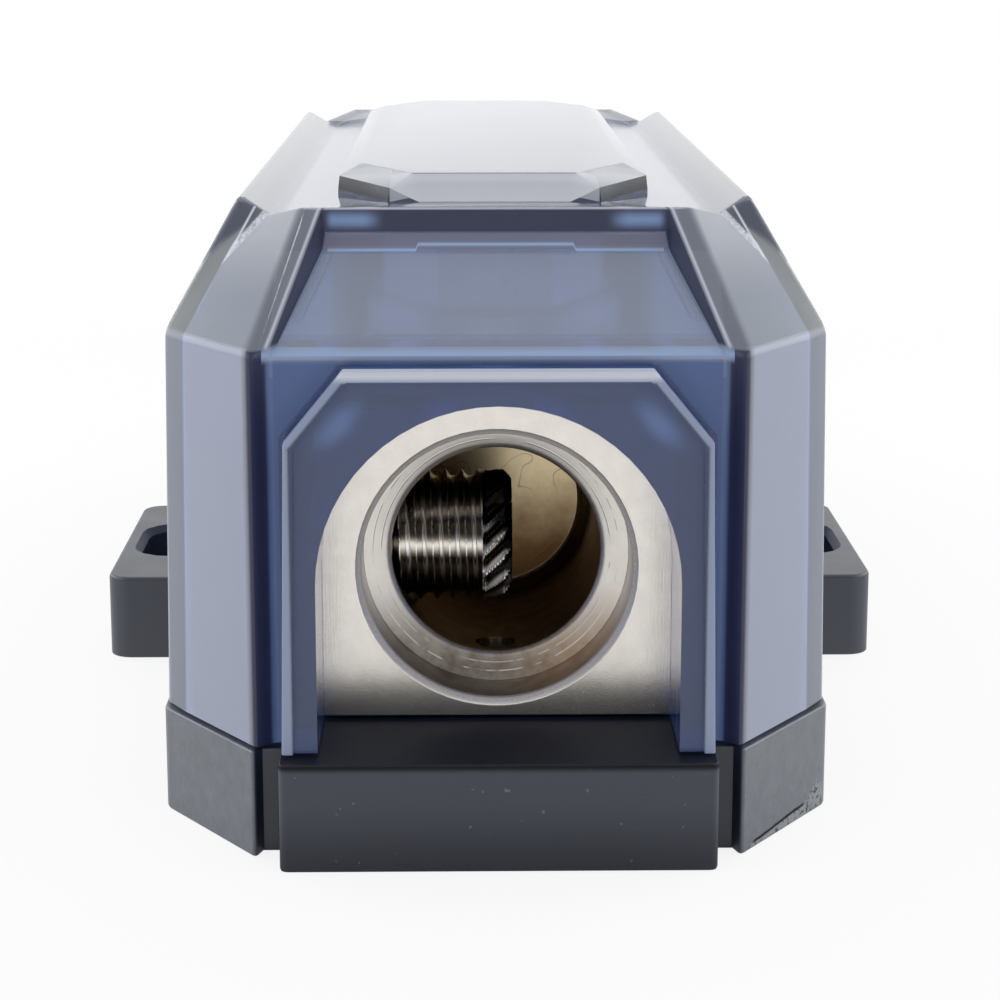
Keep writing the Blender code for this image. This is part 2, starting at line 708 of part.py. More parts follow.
def hood():
    """The cable hood, which reaches back inside the cover to the face of the block."""
    mesh = prism_y(hood_outline(0.0), station(HOOD_SETBACK), station(BLOCK_SETBACK - SEAT_GAP))
    bmesh.ops.recalc_face_normals(mesh, faces=mesh.faces)

    def is_front(edge):
        at_front = all(abs(vert.co.y - station(HOOD_SETBACK)) < NEAR for vert in edge.verts)
        return at_front and not is_level_at(COVER_FOOT)(edge)

    return round_edges(mesh, COVER_EDGE_ROUND / 2, 2, is_front)


def hood_face():
    """The shallow sunk field inside the hood's raised rim."""
    return prism_y(hood_outline(HOOD_RIM), station(-CUT), station(HOOD_SETBACK + HOOD_RIM_DEPTH))


def arch():
    return prism_y(arch_outline(), station(-CUT), station(BLOCK_SETBACK + CUT))


def roof_panel():
    """The raised panel on the deck: ramps at both ends, upright slanted corners and a wide bevel round the top."""
    foot = VALLEY_HEIGHT - COVER_WALL / 2
    edge_run = PANEL_RAMP * PANEL_EDGE_RISE / PANEL_RISE
    lower = [
        (PANEL_RAMP_HALF, PANEL_SETBACK),
        (PANEL_FRONT_HALF, PANEL_SETBACK + PANEL_DRAFT),
        (PANEL_HALF, PANEL_SHOULDER_SETBACK),
    ]
    edge = [
        (PANEL_RAMP_HALF, PANEL_SETBACK + edge_run),
        (PANEL_FRONT_HALF - PANEL_DRAFT, PANEL_SETBACK + 3 * PANEL_DRAFT),
        (PANEL_HALF - PANEL_DRAFT, PANEL_SHOULDER_SETBACK),
    ]
    upper = [
        (PANEL_RAMP_HALF, PANEL_SETBACK + PANEL_RAMP),
        (PANEL_FRONT_HALF - PANEL_BEVEL, PANEL_SETBACK + PANEL_RAMP),
        (PANEL_HALF - PANEL_BEVEL, PANEL_SHOULDER_SETBACK + 2 * PANEL_BEVEL),
    ]
    levels = ((lower, foot), (lower, DECK_HEIGHT), (edge, DECK_HEIGHT + PANEL_EDGE_RISE), (upper, PANEL_HEIGHT))
    rings = [placed([(x, setback, height) for x, setback in quarter]) for quarter, height in levels]
    mesh = loft(rings)
    bmesh.ops.triangulate(mesh, faces=[face for face in mesh.faces if len(face.verts) == 4])
    return mesh


def make_cover(finish):
    cover = add_object("clear_cover", cover_outside(), finish)
    join(cover, roof_panel())
    cut(cover, window_recess(0.0))
    cut(cover, turned_round(window_recess(0.0)))
    cut(cover, cavity(finish))
    for turn in (lambda mesh: mesh, turned_round):
        join(cover, turn(hood()))
        cut(cover, turn(hood_face()))
        cut(cover, turn(arch()))
    return cover


# Terminal blocks and their screws


def block_outline(top):
    """Section of a block with a flat foot: square-shouldered, or round over the bore without a top."""
    if top is not None:
        return [(-BLOCK_HALF, BLOCK_FOOT), (BLOCK_HALF, BLOCK_FOOT), (BLOCK_HALF, top), (-BLOCK_HALF, top)]
    points = [(-BLOCK_HALF, BLOCK_FOOT), (BLOCK_HALF, BLOCK_FOOT)]
    for i in range(ARCH_STEPS + 1):
        angle = pi * i / ARCH_STEPS
        points.append((BLOCK_HALF * cos(angle), BORE_HEIGHT + BLOCK_HALF * sin(angle)))
    return points


def along_y(mesh, setback, height):
    """Turns a solid made about Z so that its +Z runs along +Y, and sets its foot at a place."""
    place = Matrix.Translation((0.0, station(setback), height))
    return moved(mesh, place @ Matrix.Rotation(-pi / 2, 4, "X"))


def along_x(mesh, x, setback, height):
    """Turns a solid made about Z so that its +Z runs along +X."""
    place = Matrix.Translation((x, station(setback), height))
    return moved(mesh, place @ Matrix.Rotation(pi / 2, 4, "Y"))


def bore():
    """Cable bore with its wide mouth, from the face inwards."""
    lip = COUNTERBORE_LIP
    profile = [
        (COUNTERBORE_RADIUS + lip, -CUT),
        (COUNTERBORE_RADIUS + lip, 0.0),
        (COUNTERBORE_RADIUS, lip),
        (COUNTERBORE_RADIUS, COUNTERBORE_DEPTH - lip),
        (BORE_RADIUS + lip, COUNTERBORE_DEPTH),
        (BORE_RADIUS, COUNTERBORE_DEPTH + lip),
        (BORE_RADIUS, BORE_DEPTH - BORE_END_TAPER),
        (BORE_END_RADIUS, BORE_DEPTH),
    ]
    return along_y(turned(profile, 2 * ROUND_STEPS), BLOCK_SETBACK, BORE_HEIGHT)


def bolt_tip():
    return BORE_HEIGHT + BORE_RADIUS + BOLT_ROOF


def make_block(name, finish, turn):
    mesh = prism_y(block_outline(None), station(BLOCK_SETBACK), station(BLOCK_SETBACK + BLOCK_BOSS_LENGTH))
    bmesh.ops.recalc_face_normals(mesh, faces=mesh.faces)
    block = add_object(name, turn(mesh), finish)
    first = station(BLOCK_SETBACK + BLOCK_BOSS_LENGTH - BLOCK_EDGE_ROUND)
    body = prism_y(block_outline(BLOCK_HEIGHT), first, station(BLOCK_SETBACK + BLOCK_LENGTH))
    round_edges(body, BLOCK_EDGE_ROUND, 2, is_level_at(BLOCK_HEIGHT))
    join(block, turn(body))
    cut(block, turn(bore()))
    hole = THREAD_RADIUS + THREAD_FIT
    clamp = turned([(hole, 0.0), (hole, BLOCK_HALF + CUT)])
    cut(block, turn(along_x(clamp, -BLOCK_HALF - CUT, SET_SCREW_SETBACK, BORE_HEIGHT)))
    tapped = turned([(hole, bolt_tip() - SEAT_GAP), (hole, BLOCK_HEIGHT + CUT)])
    cut(block, turn(moved(tapped, Matrix.Translation((0.0, station(BOLT_SETBACK), 0.0)))))
    tap = BLOCK_SCREW_RADIUS + THREAD_FIT
    small = turned([(tap, 0.0), (tap, BORE_HEIGHT)])
    cut(block, turn(moved(small, Matrix.Translation((0.0, station(BLOCK_SCREW_SETBACK), 0.0)))))
    return block


def make_set_screw(name, finish, turn):
    """Clamp screw on an empty at its axis: hexagon key socket outside, serrated cup tip in the bore."""
    radius = THREAD_RADIUS
    step = pi / SET_SCREW_TEETH
    shank = SET_SCREW_LENGTH - SET_SCREW_TIP
    twist = SET_SCREW_TWIST
    rings = []
    for depth, crest, root, turned_by in (
        (0.0, radius - SEAT_GAP, radius - SEAT_GAP, 0.0),
        (SEAT_GAP, radius, radius, 0.0),
        (shank, radius, radius, 0.0),
        (shank + SEAT_GAP, radius - SEAT_GAP, radius - 2 * SEAT_GAP, 0.0),
        (SET_SCREW_LENGTH - SEAT_GAP, radius - SEAT_GAP, radius - 2 * SEAT_GAP, twist),
        (SET_SCREW_LENGTH, radius - 4 * SEAT_GAP, radius - 4 * SEAT_GAP, twist + 0.5),
        (SET_SCREW_LENGTH, CUP_RADIUS, CUP_RADIUS, twist + 0.5),
        (SET_SCREW_LENGTH - CUP_DEPTH, CUP_RADIUS / 5, CUP_RADIUS / 5, twist + 0.5),
    ):
        ring = []
        for i in range(2 * SET_SCREW_TEETH):
            angle = (i + turned_by) * step
            reach = root if i % 2 else crest
            ring.append((reach * cos(angle), reach * sin(angle), depth))
        rings.append(ring)
    mesh = loft(rings)
    screw = add_object(name, mesh, finish)
    corner = SET_SCREW_KEY / sqrt(3.0)
    depth = SET_SCREW_KEY_DEPTH
    socket = [(corner, -CUT), (corner, depth), (corner / 5, depth + SEAT_GAP * 2)]
    cut(screw, turned(socket, 6))
    axis = bpy.data.objects.new(name + "_axis", None)
    bpy.context.scene.collection.objects.link(axis)
    head = (SET_SCREW_REACH - SET_SCREW_LENGTH, station(SET_SCREW_SETBACK), BORE_HEIGHT)
    axis.matrix_world = turn @ Matrix.Translation(head) @ Matrix.Rotation(pi / 2, 4, "Y")
    screw.parent = axis
    return screw


def screw_head_foot():
    return BASE_HEIGHT - BASE_FLOOR - 2 * SEAT_GAP - BLOCK_SCREW_HEAD_HEIGHT


def make_block_screw(name, finish, turn):
    foot = screw_head_foot()
    shoulder = foot + BLOCK_SCREW_HEAD_HEIGHT
    tip = BORE_HEIGHT - BORE_RADIUS - SEAT_GAP
    profile = [
        (BLOCK_SCREW_HEAD - SEAT_GAP, foot),
        (BLOCK_SCREW_HEAD, foot + SEAT_GAP),
        (BLOCK_SCREW_HEAD, shoulder),
        (BLOCK_SCREW_RADIUS, shoulder),
        (BLOCK_SCREW_RADIUS, tip - SEAT_GAP),
        (BLOCK_SCREW_RADIUS - SEAT_GAP, tip),
    ]
    screw = add_object(name, turned(profile), finish)
    for quarter in (0.0, pi / 2):
        half, thin = BLOCK_SCREW_DRIVE, BLOCK_SCREW_DRIVE_WIDTH / 2
        slot = box((-half, -thin, -CUT), (half, thin, foot + BLOCK_SCREW_DRIVE_DEPTH))
        cut(screw, moved(slot, Matrix.Rotation(quarter, 4, "Z")))
    screw.matrix_world = turn @ Matrix.Translation((0.0, station(BLOCK_SCREW_SETBACK), 0.0))
    return screw


# Fuse, its bolts and washers


def make_bolt(name, finish, turn):
    """Hexagon-head bolt through washer and link into the roof of the block."""
    corner = BOLT_HEAD_FLATS / sqrt(3.0)
    head_top = BOLT_FOOT + BOLT_HEAD_HEIGHT
    bolt = add_object(name, turned([(corner, BOLT_FOOT), (corner, head_top)], 6), finish)
    bolt.data.transform(Matrix.Rotation(pi / 6, 4, "Z"))
    wide = corner + SEAT_GAP
    drop = (wide - BOLT_FACE_RADIUS) * tan(BOLT_HEAD_CHAMFER)
    blank = [(wide, BOLT_FOOT - CUT), (wide, head_top - drop), (BOLT_FACE_RADIUS, head_top)]
    combine(bolt, turned(blank, 2 * ROUND_STEPS), "INTERSECT")
    shank = [
        (THREAD_RADIUS - SEAT_GAP, bolt_tip()),
        (THREAD_RADIUS, bolt_tip() + SEAT_GAP),
        (THREAD_RADIUS, BOLT_FOOT + BOLT_HEAD_HEIGHT / 2),
    ]
    join(bolt, turned(shank))
    bolt.matrix_world = turn @ Matrix.Translation((0.0, station(BOLT_SETBACK), 0.0))
    return bolt


def make_washer(name, finish, turn):
    edge = SEAT_GAP / 2
    top = WASHER_FOOT + WASHER_THICKNESS
    profile = [
        (WASHER_RADIUS - edge, WASHER_FOOT),
        (WASHER_RADIUS, WASHER_FOOT + edge),
        (WASHER_RADIUS, top - edge),
        (WASHER_RADIUS - edge, top),
    ]
    washer = add_object(name, turned(profile, 2 * ROUND_STEPS), finish)
    cut(washer, turned([(WASHER_HOLE, WASHER_FOOT - CUT), (WASHER_HOLE, top + CUT)]))
    washer.matrix_world = turn @ Matrix.Translation((0.0, station(BOLT_SETBACK), 0.0))
    return washer


def link_outline(grow):
    """Wide bolt tabs, narrowed inside the fuse body to a thin element that melts."""
    tab_end = FUSE_LENGTH / 2 - LINK_TAB_ENTRY
    neck_end = tab_end - LINK_NECK_TAPER
    quarter = [
        (LINK_HALF + grow, -LINK_LENGTH / 2 - grow),
        (LINK_HALF + grow, -tab_end + grow),
        (LINK_NECK_HALF + grow, -neck_end + grow),
        (LINK_NECK_HALF + grow, -ELEMENT_LENGTH / 2 - LINK_NECK_TAPER + grow),
        (ELEMENT_HALF + grow, -ELEMENT_LENGTH / 2 + grow),
    ]
    return all_round(quarter)


def make_link(finish):
    mesh = prism_z(link_outline(0.0), LINK_FOOT, LINK_FOOT + LINK_THICKNESS)
    link = add_object("fuse_link", mesh, finish)
    hole = [(LINK_HOLE, LINK_FOOT - CUT), (LINK_HOLE, LINK_FOOT + CUT)]
    for end in (-1, 1):
        cut(link, moved(turned(hole), Matrix.Translation((0.0, end * BOLT_SPACING / 2, 0.0))))
    return link


def rivet_places():
    x = FUSE_HALF - RIVET_INSET
    y = FUSE_LENGTH / 2 - LINK_TAB_ENTRY - LINK_NECK_TAPER - RIVET_HEAD
    return [(-x, -y), (x, -y), (x, y), (-x, y)]


def pane_seat():
    top = FUSE_MIDDLE + FUSE_HEIGHT / 2
    return top - PANE_THICKNESS - SEAT_GAP


def fuse_half(name, finish, low, high, outer_height):
    """One half of the fuse body: rounded outer rim, a channel for the link and four rivet holes."""
    mesh = box((-FUSE_HALF, -FUSE_LENGTH / 2, low), (FUSE_HALF, FUSE_LENGTH / 2, high))
    round_edges(mesh, FUSE_CORNER, 4, is_upright)
    round_edges(mesh, FUSE_CORNER / 3, 2, is_level_at(outer_height))
    half = add_object(name, mesh, finish)
    channel = prism_z(link_outline(SEAT_GAP), LINK_FOOT - SEAT_GAP, LINK_FOOT + LINK_THICKNESS + SEAT_GAP)
    cut(half, channel)
    radius = RIVET_RADIUS + THREAD_FIT
    for x, y in rivet_places():
        hole = turned([(radius, low - CUT), (radius, high + CUT)], ROUND_STEPS // 2)
        cut(half, moved(hole, Matrix.Translation((x, y, 0.0))))
    return half


def make_fuse_body(finish):
    bottom = FUSE_MIDDLE - FUSE_HEIGHT / 2
    top = FUSE_MIDDLE + FUSE_HEIGHT / 2
    fuse_half("fuse_body_lower", finish, bottom, FUSE_MIDDLE - SEAT_GAP / 2, bottom)
    upper = fuse_half("fuse_body_upper", finish, FUSE_MIDDLE + SEAT_GAP / 2, top, top)
    half_x, half_y = PANE_WIDTH / 2 + SEAT_GAP, PANE_LENGTH / 2 + SEAT_GAP
    cut(upper, box((-half_x, -half_y, pane_seat()), (half_x, half_y, top + CUT)))
    low = LINK_FOOT + LINK_THICKNESS
    half_x, half_y = half_x - PANE_LEDGE, half_y - PANE_LEDGE
    cut(upper, box((-half_x, -half_y, low), (half_x, half_y, top + CUT)))


def make_pane(finish):
    low = pane_seat() + SEAT_GAP
    half_x, half_y = PANE_WIDTH / 2, PANE_LENGTH / 2
    mesh = box((-half_x, -half_y, low), (half_x, half_y, low + PANE_THICKNESS))
    return add_object("fuse_window", mesh, finish)


def make_rivets(finish):
    bottom = FUSE_MIDDLE - FUSE_HEIGHT / 2 - SEAT_GAP
    top = FUSE_MIDDLE + FUSE_HEIGHT / 2 + SEAT_GAP
    profile = [
        (RIVET_CROWN, bottom - RIVET_HEAD_HEIGHT),
        (RIVET_HEAD, bottom),
        (RIVET_RADIUS, bottom),
        (RIVET_RADIUS, top),
        (RIVET_HEAD, top),
        (RIVET_CROWN, top + RIVET_HEAD_HEIGHT),
    ]
    for number, (x, y) in enumerate(rivet_places(), 1):
        rivet = add_object(f"fuse_rivet_{number}", turned(profile, ROUND_STEPS // 2), finish)
        rivet.location = (x, y, 0.0)


def build():
    clear_scene()
    black = material("black_base", (0.028, 0.029, 0.033), 0.42)
    smoke = material("smoke_cover", (0.10, 0.17, 0.33), 0.16, alpha=0.6)
    plated = material("plated_block", (0.72, 0.68, 0.62), 0.3, 1.0)
    steel = material("bolt_steel", (0.58, 0.57, 0.55), 0.28, 1.0)
    dark_steel = material("clamp_steel", (0.42, 0.40, 0.37), 0.3, 1.0)
    element = material("fuse_metal", (0.75, 0.70, 0.60), 0.25, 1.0)
    body = material("fuse_plastic", (0.05, 0.05, 0.055), 0.5)
    pane = material("fuse_pane", (0.85, 0.88, 0.88), 0.08, alpha=0.35)
    zinc = material("small_screw_steel", (0.62, 0.60, 0.56), 0.32, 1.0)
    make_base(black)
    make_cover(smoke)
    ends = (("front", lambda mesh: mesh, Matrix.Identity(4)), ("rear", turned_round, HALF_TURN))
    for end, turn_mesh, turn in ends:
        make_block(end + "_terminal_block", plated, turn_mesh)
        make_set_screw(end + "_set_screw", dark_steel, turn)
        make_bolt(end + "_fuse_bolt", steel, turn)
        make_washer(end + "_flat_washer", steel, turn)
        make_block_screw(end + "_block_screw", zinc, turn)
    make_link(element)
    make_fuse_body(body)
    make_pane(pane)
    make_rivets(zinc)


build()
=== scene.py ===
import json
from math import cos, hypot, pi, radians, sin, sqrt, tan

import bmesh
import bpy
from mathutils import Matrix, Vector

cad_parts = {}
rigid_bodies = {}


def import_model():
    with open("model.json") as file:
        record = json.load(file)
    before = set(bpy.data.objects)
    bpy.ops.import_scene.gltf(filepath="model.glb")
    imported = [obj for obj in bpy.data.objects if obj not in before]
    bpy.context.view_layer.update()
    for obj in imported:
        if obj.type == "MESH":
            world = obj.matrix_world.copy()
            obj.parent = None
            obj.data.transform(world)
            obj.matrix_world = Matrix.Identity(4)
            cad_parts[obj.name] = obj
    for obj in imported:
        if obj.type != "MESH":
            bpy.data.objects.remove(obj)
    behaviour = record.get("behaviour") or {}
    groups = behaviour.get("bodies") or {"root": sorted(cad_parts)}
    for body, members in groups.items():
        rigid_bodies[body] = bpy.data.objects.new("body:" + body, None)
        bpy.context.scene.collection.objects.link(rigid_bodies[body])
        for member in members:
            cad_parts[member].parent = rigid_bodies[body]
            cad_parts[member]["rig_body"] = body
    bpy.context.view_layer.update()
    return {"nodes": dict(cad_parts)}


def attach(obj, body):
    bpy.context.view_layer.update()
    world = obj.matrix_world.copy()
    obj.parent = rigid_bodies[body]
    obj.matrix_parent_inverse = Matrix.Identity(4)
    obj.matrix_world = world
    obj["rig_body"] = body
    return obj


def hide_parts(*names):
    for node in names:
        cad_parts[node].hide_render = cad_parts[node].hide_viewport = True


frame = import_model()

MM = 0.001

# View
# The holder is seen from just above its front cable entry, with a long lens, so the front end fills the
# picture and the roof is seen at a flat angle.
PICTURE_WIDTH = 1000
FOCAL_PIXELS = 2598
SENSOR_WIDTH = 36.0
CAMERA_PLACE = (-2.02, -193.65, 51.81)
CAMERA_PITCH = radians(12.47)
CAMERA_YAW = radians(0.86)

camera_data = bpy.data.cameras.new("front_view")
camera_data.sensor_width = SENSOR_WIDTH
camera_data.lens = SENSOR_WIDTH * FOCAL_PIXELS / PICTURE_WIDTH
camera_data.clip_start = 0.01
camera = bpy.data.objects.new("front_view", camera_data)
camera.location = Vector(CAMERA_PLACE) * MM
camera.rotation_euler = (pi / 2 - CAMERA_PITCH, 0.0, -CAMERA_YAW)
bpy.context.scene.collection.objects.link(camera)
bpy.context.scene.camera = camera
bpy.context.scene.view_settings.view_transform = "Standard"


# Moulded base
# One injection-moulded tray in charcoal black plastic with a fine spark-eroded texture. It carries the two
# terminal blocks, and its ears are slotted for the mounting screws. One front corner is scuffed.


class Socket:
    """An output of a node tree that takes part in sums, so that a pattern reads like a formula."""

    def __init__(self, tree, output):
        self.tree = tree
        self.output = output

    def node(self, kind, settings=None, inputs=None):
        """Adds a node of any kind: its settings come first, then the values or links of its inputs."""
        made = self.tree.nodes.new(kind)
        for name, value in (settings or {}).items():
            if name == "stops":
                set_stops(made.color_ramp, value)
            else:
                setattr(made, name, value)
        feed(self.tree, made, inputs or {})
        return Socket(self.tree, next(out for out in made.outputs if out.enabled))

    def also(self, name):
        """Another output of the same node."""
        return Socket(self.tree, self.output.node.outputs[name])

    def math(self, operation, *values):
        return self.node("ShaderNodeMath", {"operation": operation}, dict(enumerate(values)))

    def __add__(self, other):
        return self.math("ADD", self, other)

    def __radd__(self, other):
        return self.math("ADD", other, self)

    def __sub__(self, other):
        return self.math("SUBTRACT", self, other)

    def __rsub__(self, other):
        return self.math("SUBTRACT", other, self)

    def __mul__(self, other):
        return self.math("MULTIPLY", self, other)

    def __rmul__(self, other):
        return self.math("MULTIPLY", other, self)

    def __truediv__(self, other):
        return self.math("DIVIDE", self, other)

    def __rtruediv__(self, other):
        return self.math("DIVIDE", other, self)

    def __neg__(self):
        return self.math("MULTIPLY", self, -1.0)

    def __abs__(self):
        return self.math("ABSOLUTE", self)

    def __pow__(self, other):
        return self.math("POWER", self, other)

    def __gt__(self, other):
        return self.math("GREATER_THAN", self, other)

    def __lt__(self, other):
        return self.math("LESS_THAN", self, other)


def feed(tree, node, inputs):
    for key, value in inputs.items():
        if isinstance(value, Socket):
            tree.links.new(value.output, node.inputs[key])
        else:
            node.inputs[key].default_value = value


def set_stops(ramp, stops):
    while len(ramp.elements) < len(stops):
        ramp.elements.new(0.5)
    for element, (position, colour) in zip(ramp.elements, stops):
        element.position = position
        element.color = colour


def shade(red, green, blue):
    """A colour given as the eye sees it, from 0 to 255, turned into the linear light that shaders take."""
    parts = [part / 255 for part in (red, green, blue)]
    return (*[p / 12.92 if p < 0.04045 else ((p + 0.055) / 1.055) ** 2.4 for p in parts], 1.0)


def tint(mask, low, high):
    """From one colour to another as the mask goes from 0 to 1."""
    return mask.node("ShaderNodeMix", {"data_type": "RGBA"}, {0: mask, "A": low, "B": high})


def rise(value, start, end):
    """0 below start, 1 above end, and a smooth step between them."""
    inputs = {"Value": value, "From Min": start, "From Max": end}
    return value.node("ShaderNodeMapRange", {"interpolation_type": "SMOOTHSTEP"}, inputs)


def swell(value, start, full, ebb, end):
    """0 below start, 1 from full to ebb, and 0 above end, with a smooth step on each side."""
    return rise(value, start, full) * (1 - rise(value, ebb, end))


def near(value, target, width):
    """1 where a value is at its target, falling to 0 within a width."""
    return 1 - rise(abs(value - target), 0.0, width)


def within(value, low, high):
    """1 between two values and 0 outside them."""
    return (value > low) * (value < high)


def either(mask, other):
    """The stronger of two masks."""
    return mask.math("MAXIMUM", mask, other)


def stretched(place, x, y, z):
    return place.node("ShaderNodeVectorMath", {"operation": "MULTIPLY"}, {0: place, 1: (x, y, z)})


def noise(place, scale, detail=2.0, roughness=0.5):
    inputs = {"Vector": place, "Scale": scale, "Detail": detail, "Roughness": roughness}
    return place.node("ShaderNodeTexNoise", None, inputs)


def coordinates(place):
    """The X, Y and Z of a place, in millimetres."""
    x = place.node("ShaderNodeSeparateXYZ", None, {0: place})
    return x, x.also("Y"), x.also("Z")


def bumped(height, depth, strength=1.0):
    """A normal for a height from 0 to 1, where 1 is so many millimetres deep."""
    inputs = {"Height": height, "Distance": depth * MM, "Strength": strength}
    return height.node("ShaderNodeBump", None, inputs)


def start_finish(name):
    """A new material, and the place on the piece in millimetres."""
    finish = bpy.data.materials.new(name)
    finish.use_nodes = True
    tree = finish.node_tree
    object_place = Socket(tree, tree.nodes.new("ShaderNodeTexCoord").outputs["Object"])
    inputs = {0: object_place, "Scale": 1 / MM}
    return finish, object_place.node("ShaderNodeVectorMath", {"operation": "SCALE"}, inputs)


def surface(finish, inputs):
    """Sets the sockets of a finish's main shader."""
    feed(finish.node_tree, finish.node_tree.nodes["Principled BSDF"], inputs)


WELD = 0.002 * MM
FLAT_ANGLE = radians(0.6)
SMOOTH_ANGLE = radians(38.0)
EDGE_ANGLE = radians(40.0)


def welded(node):
    """A clean copy of a solid's mesh, joined up and with its flat faces made whole."""
    mesh = bmesh.new()
    mesh.from_mesh(frame["nodes"][node].data)
    for layer in list(mesh.loops.layers.float_vector.values()):
        mesh.loops.layers.float_vector.remove(layer)
    bmesh.ops.remove_doubles(mesh, verts=mesh.verts, dist=WELD)
    bmesh.ops.dissolve_degenerate(mesh, edges=mesh.edges, dist=WELD)
    bmesh.ops.dissolve_limit(mesh, angle_limit=FLAT_ANGLE, verts=mesh.verts, edges=mesh.edges)
    return mesh


def new_piece(name, mesh):
    data = bpy.data.meshes.new(name)
    mesh.to_mesh(data)
    mesh.free()
    piece = bpy.data.objects.new(name, data)
    bpy.context.scene.collection.objects.link(piece)
    return piece


def settled(piece):
    """Turns the piece's modifiers into plain mesh."""
    graph = bpy.context.evaluated_depsgraph_get()
    old, made = piece.data, bpy.data.meshes.new_from_object(piece.evaluated_get(graph))
    piece.modifiers.clear()
    piece.data = made
    made.name = piece.name
    bpy.data.meshes.remove(old)
    return piece


def eased(piece, width, segments=3):
    """Rounds a piece's sharp edges by so many millimetres, and shades it as flats that meet in soft edges."""
    piece.data.shade_smooth()
    if width:
        bevel = piece.modifiers.new("edge", "BEVEL")
        bevel.width = width * MM
        bevel.segments = segments
        bevel.limit_method = "ANGLE"
        bevel.angle_limit = EDGE_ANGLE
        bevel.miter_outer = "MITER_ARC"
        settled(piece)
        piece.data.shade_smooth()
    piece.data.set_sharp_from_angle(angle=SMOOTH_ANGLE)
    weight = piece.modifiers.new("flats", "WEIGHTED_NORMAL")
    weight.keep_sharp = True
    weight.weight = 100
    return settled(piece)


def fit(piece, node, finish):
    """The piece takes the place of a solid, on the same body."""
    piece.data.materials.clear()
    piece.data.materials.append(finish)
    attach(piece, frame["nodes"][node]["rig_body"])
    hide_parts(node)


HALF_LENGTH = 56.0
BASE_TOP = 6.3
NOSE_HALF = 12.2
SHELF_BACK = 8.6
WING_INNER = 13.7
WING_OUTER = 20.5
WING_BACK = 12.0
SCUFF_INNER = 14.5
SCUFF_BACK = 13.0


def from_end(y):
    """The setback from the face of the nearer end."""
    return HALF_LENGTH - abs(y)


def corner_scuff(place, patch):
    """The knocked corner: its scored line, the rubbed plastic under and beside it, and the pits in that."""
    x, y, z = coordinates(place)
    at_corner = (x > SCUFF_INNER) * (y < SCUFF_BACK - HALF_LENGTH)
    line_height = 0.38 + 0.44 * rise(x, 14.2, 18.6) + 0.14 * (noise(place, 2.2, 3.0, 0.7) - 0.5)
    under = line_height - z
    scored = near(under, 0.0, 0.17) * swell(x, 14.5, 14.8, 18.1, 18.3) * at_corner
    below_line = rise(under, 0.02, 0.12) * swell(x, 14.2, 14.7, 18.4, 19.2) * at_corner
    off_corner = abs(x - 19.2) * 0.9 + abs(z - 0.9) * 0.7
    beside_line = (1 - rise(off_corner + patch, 0.9, 1.5)) * at_corner
    pits = rise(noise(place, 3.6, 2.0, 0.6), 0.56, 0.62)
    return scored, either(below_line, beside_line), pits


def charcoal_plastic():
    finish, place = start_finish("charcoal_moulding")
    x, y, z = coordinates(place)
    across, setback = abs(x), from_end(y)
    grain = noise(place, 4.5, 3.0, 0.65)
    cloud = noise(place, 0.35, 3.0)
    patch = noise(place, 1.1, 4.0, 0.7)
    fleck = rise(noise(place, 2.4, 1.0), 0.76, 0.8)
    plain = tint(cloud, shade(29, 36, 51), shade(37, 44, 60))
    # Painted reflection: the wings take a lighter grey, by patches, for the bright side light that they
    # mirror.
    wing_sheen = tint(patch, shade(66, 70, 80), shade(106, 111, 120))
    on_wing = rise(across, WING_INNER, WING_INNER + 0.3) * (across < WING_OUTER)
    on_wing = on_wing * (1 - rise(setback, WING_BACK - 0.6, WING_BACK))
    scored, rubbed, pits = corner_scuff(place, patch)
    colour = tint(on_wing, plain, wing_sheen)
    colour = tint(rubbed, colour, shade(128, 132, 138))
    colour = tint(fleck * 0.25, colour, shade(150, 152, 158))
    height = grain * 0.5 - 1.2 * rubbed * pits - 2.0 * scored
    surface(finish, {
        "Base Color": colour,
        "Roughness": 0.34 + 0.12 * cloud + 0.15 * rubbed,
        "Specular IOR Level": 0.8,
        "Normal": bumped(height, 0.03, 0.7),
    })
    # Deep marks give back almost no light. The shelf, its lip and the foot of the nose get painted
    # shade from the same nearly black matt shader.
    shelf = (z > BASE_TOP - 0.1) * within(setback, 0.3, SHELF_BACK) * (across < NOSE_HALF)
    lip = near(z, BASE_TOP - 0.15, 0.4) * (setback < 0.45) * (across < NOSE_HALF + 0.2)
    low_nose = (1 - rise(z, 0.0, 4.5)) * (setback < 0.5)
    marks = either(scored, 0.7 * rubbed * pits)
    # Painted shade on the shelf, its lip and the foot of the nose.
    painted_shade = either(0.65 * shelf, either(0.85 * lip, 0.45 * low_nose))
    tree = finish.node_tree
    inputs = {"Base Color": shade(14, 14, 17), "Roughness": 0.9, "Specular IOR Level": 0.1}
    dark = place.node("ShaderNodeBsdfPrincipled", None, inputs)
    polished = Socket(tree, tree.nodes["Principled BSDF"].outputs[0])
    mixed = place.node("ShaderNodeMixShader", None, {0: either(marks, painted_shade), 1: polished, 2: dark})
    tree.links.new(mixed.output, tree.nodes["Material Output"].inputs["Surface"])
    return finish


base_piece = eased(new_piece("moulded_base", welded("base_tray")), 0.0)
fit(base_piece, "base_tray", charcoal_plastic())


# Terminal blocks
# Two machined brass blocks under satin nickel plate, one at each end. The cable bore has a wide turned
# mouth. Inside it the plate is thin and stained brown by cutting oil, and the mouth keeps a fine burr.

BORE_AXIS_HEIGHT = 15.4
BLOCK_FACE = 8.55
MOUTH_RADIUS = 7.9
MOUTH_FLOOR = BLOCK_FACE + 4.35
BORE_RADIUS = 6.25
BORE_END = BLOCK_FACE + 19.0
BORE_END_RADIUS = 5.5


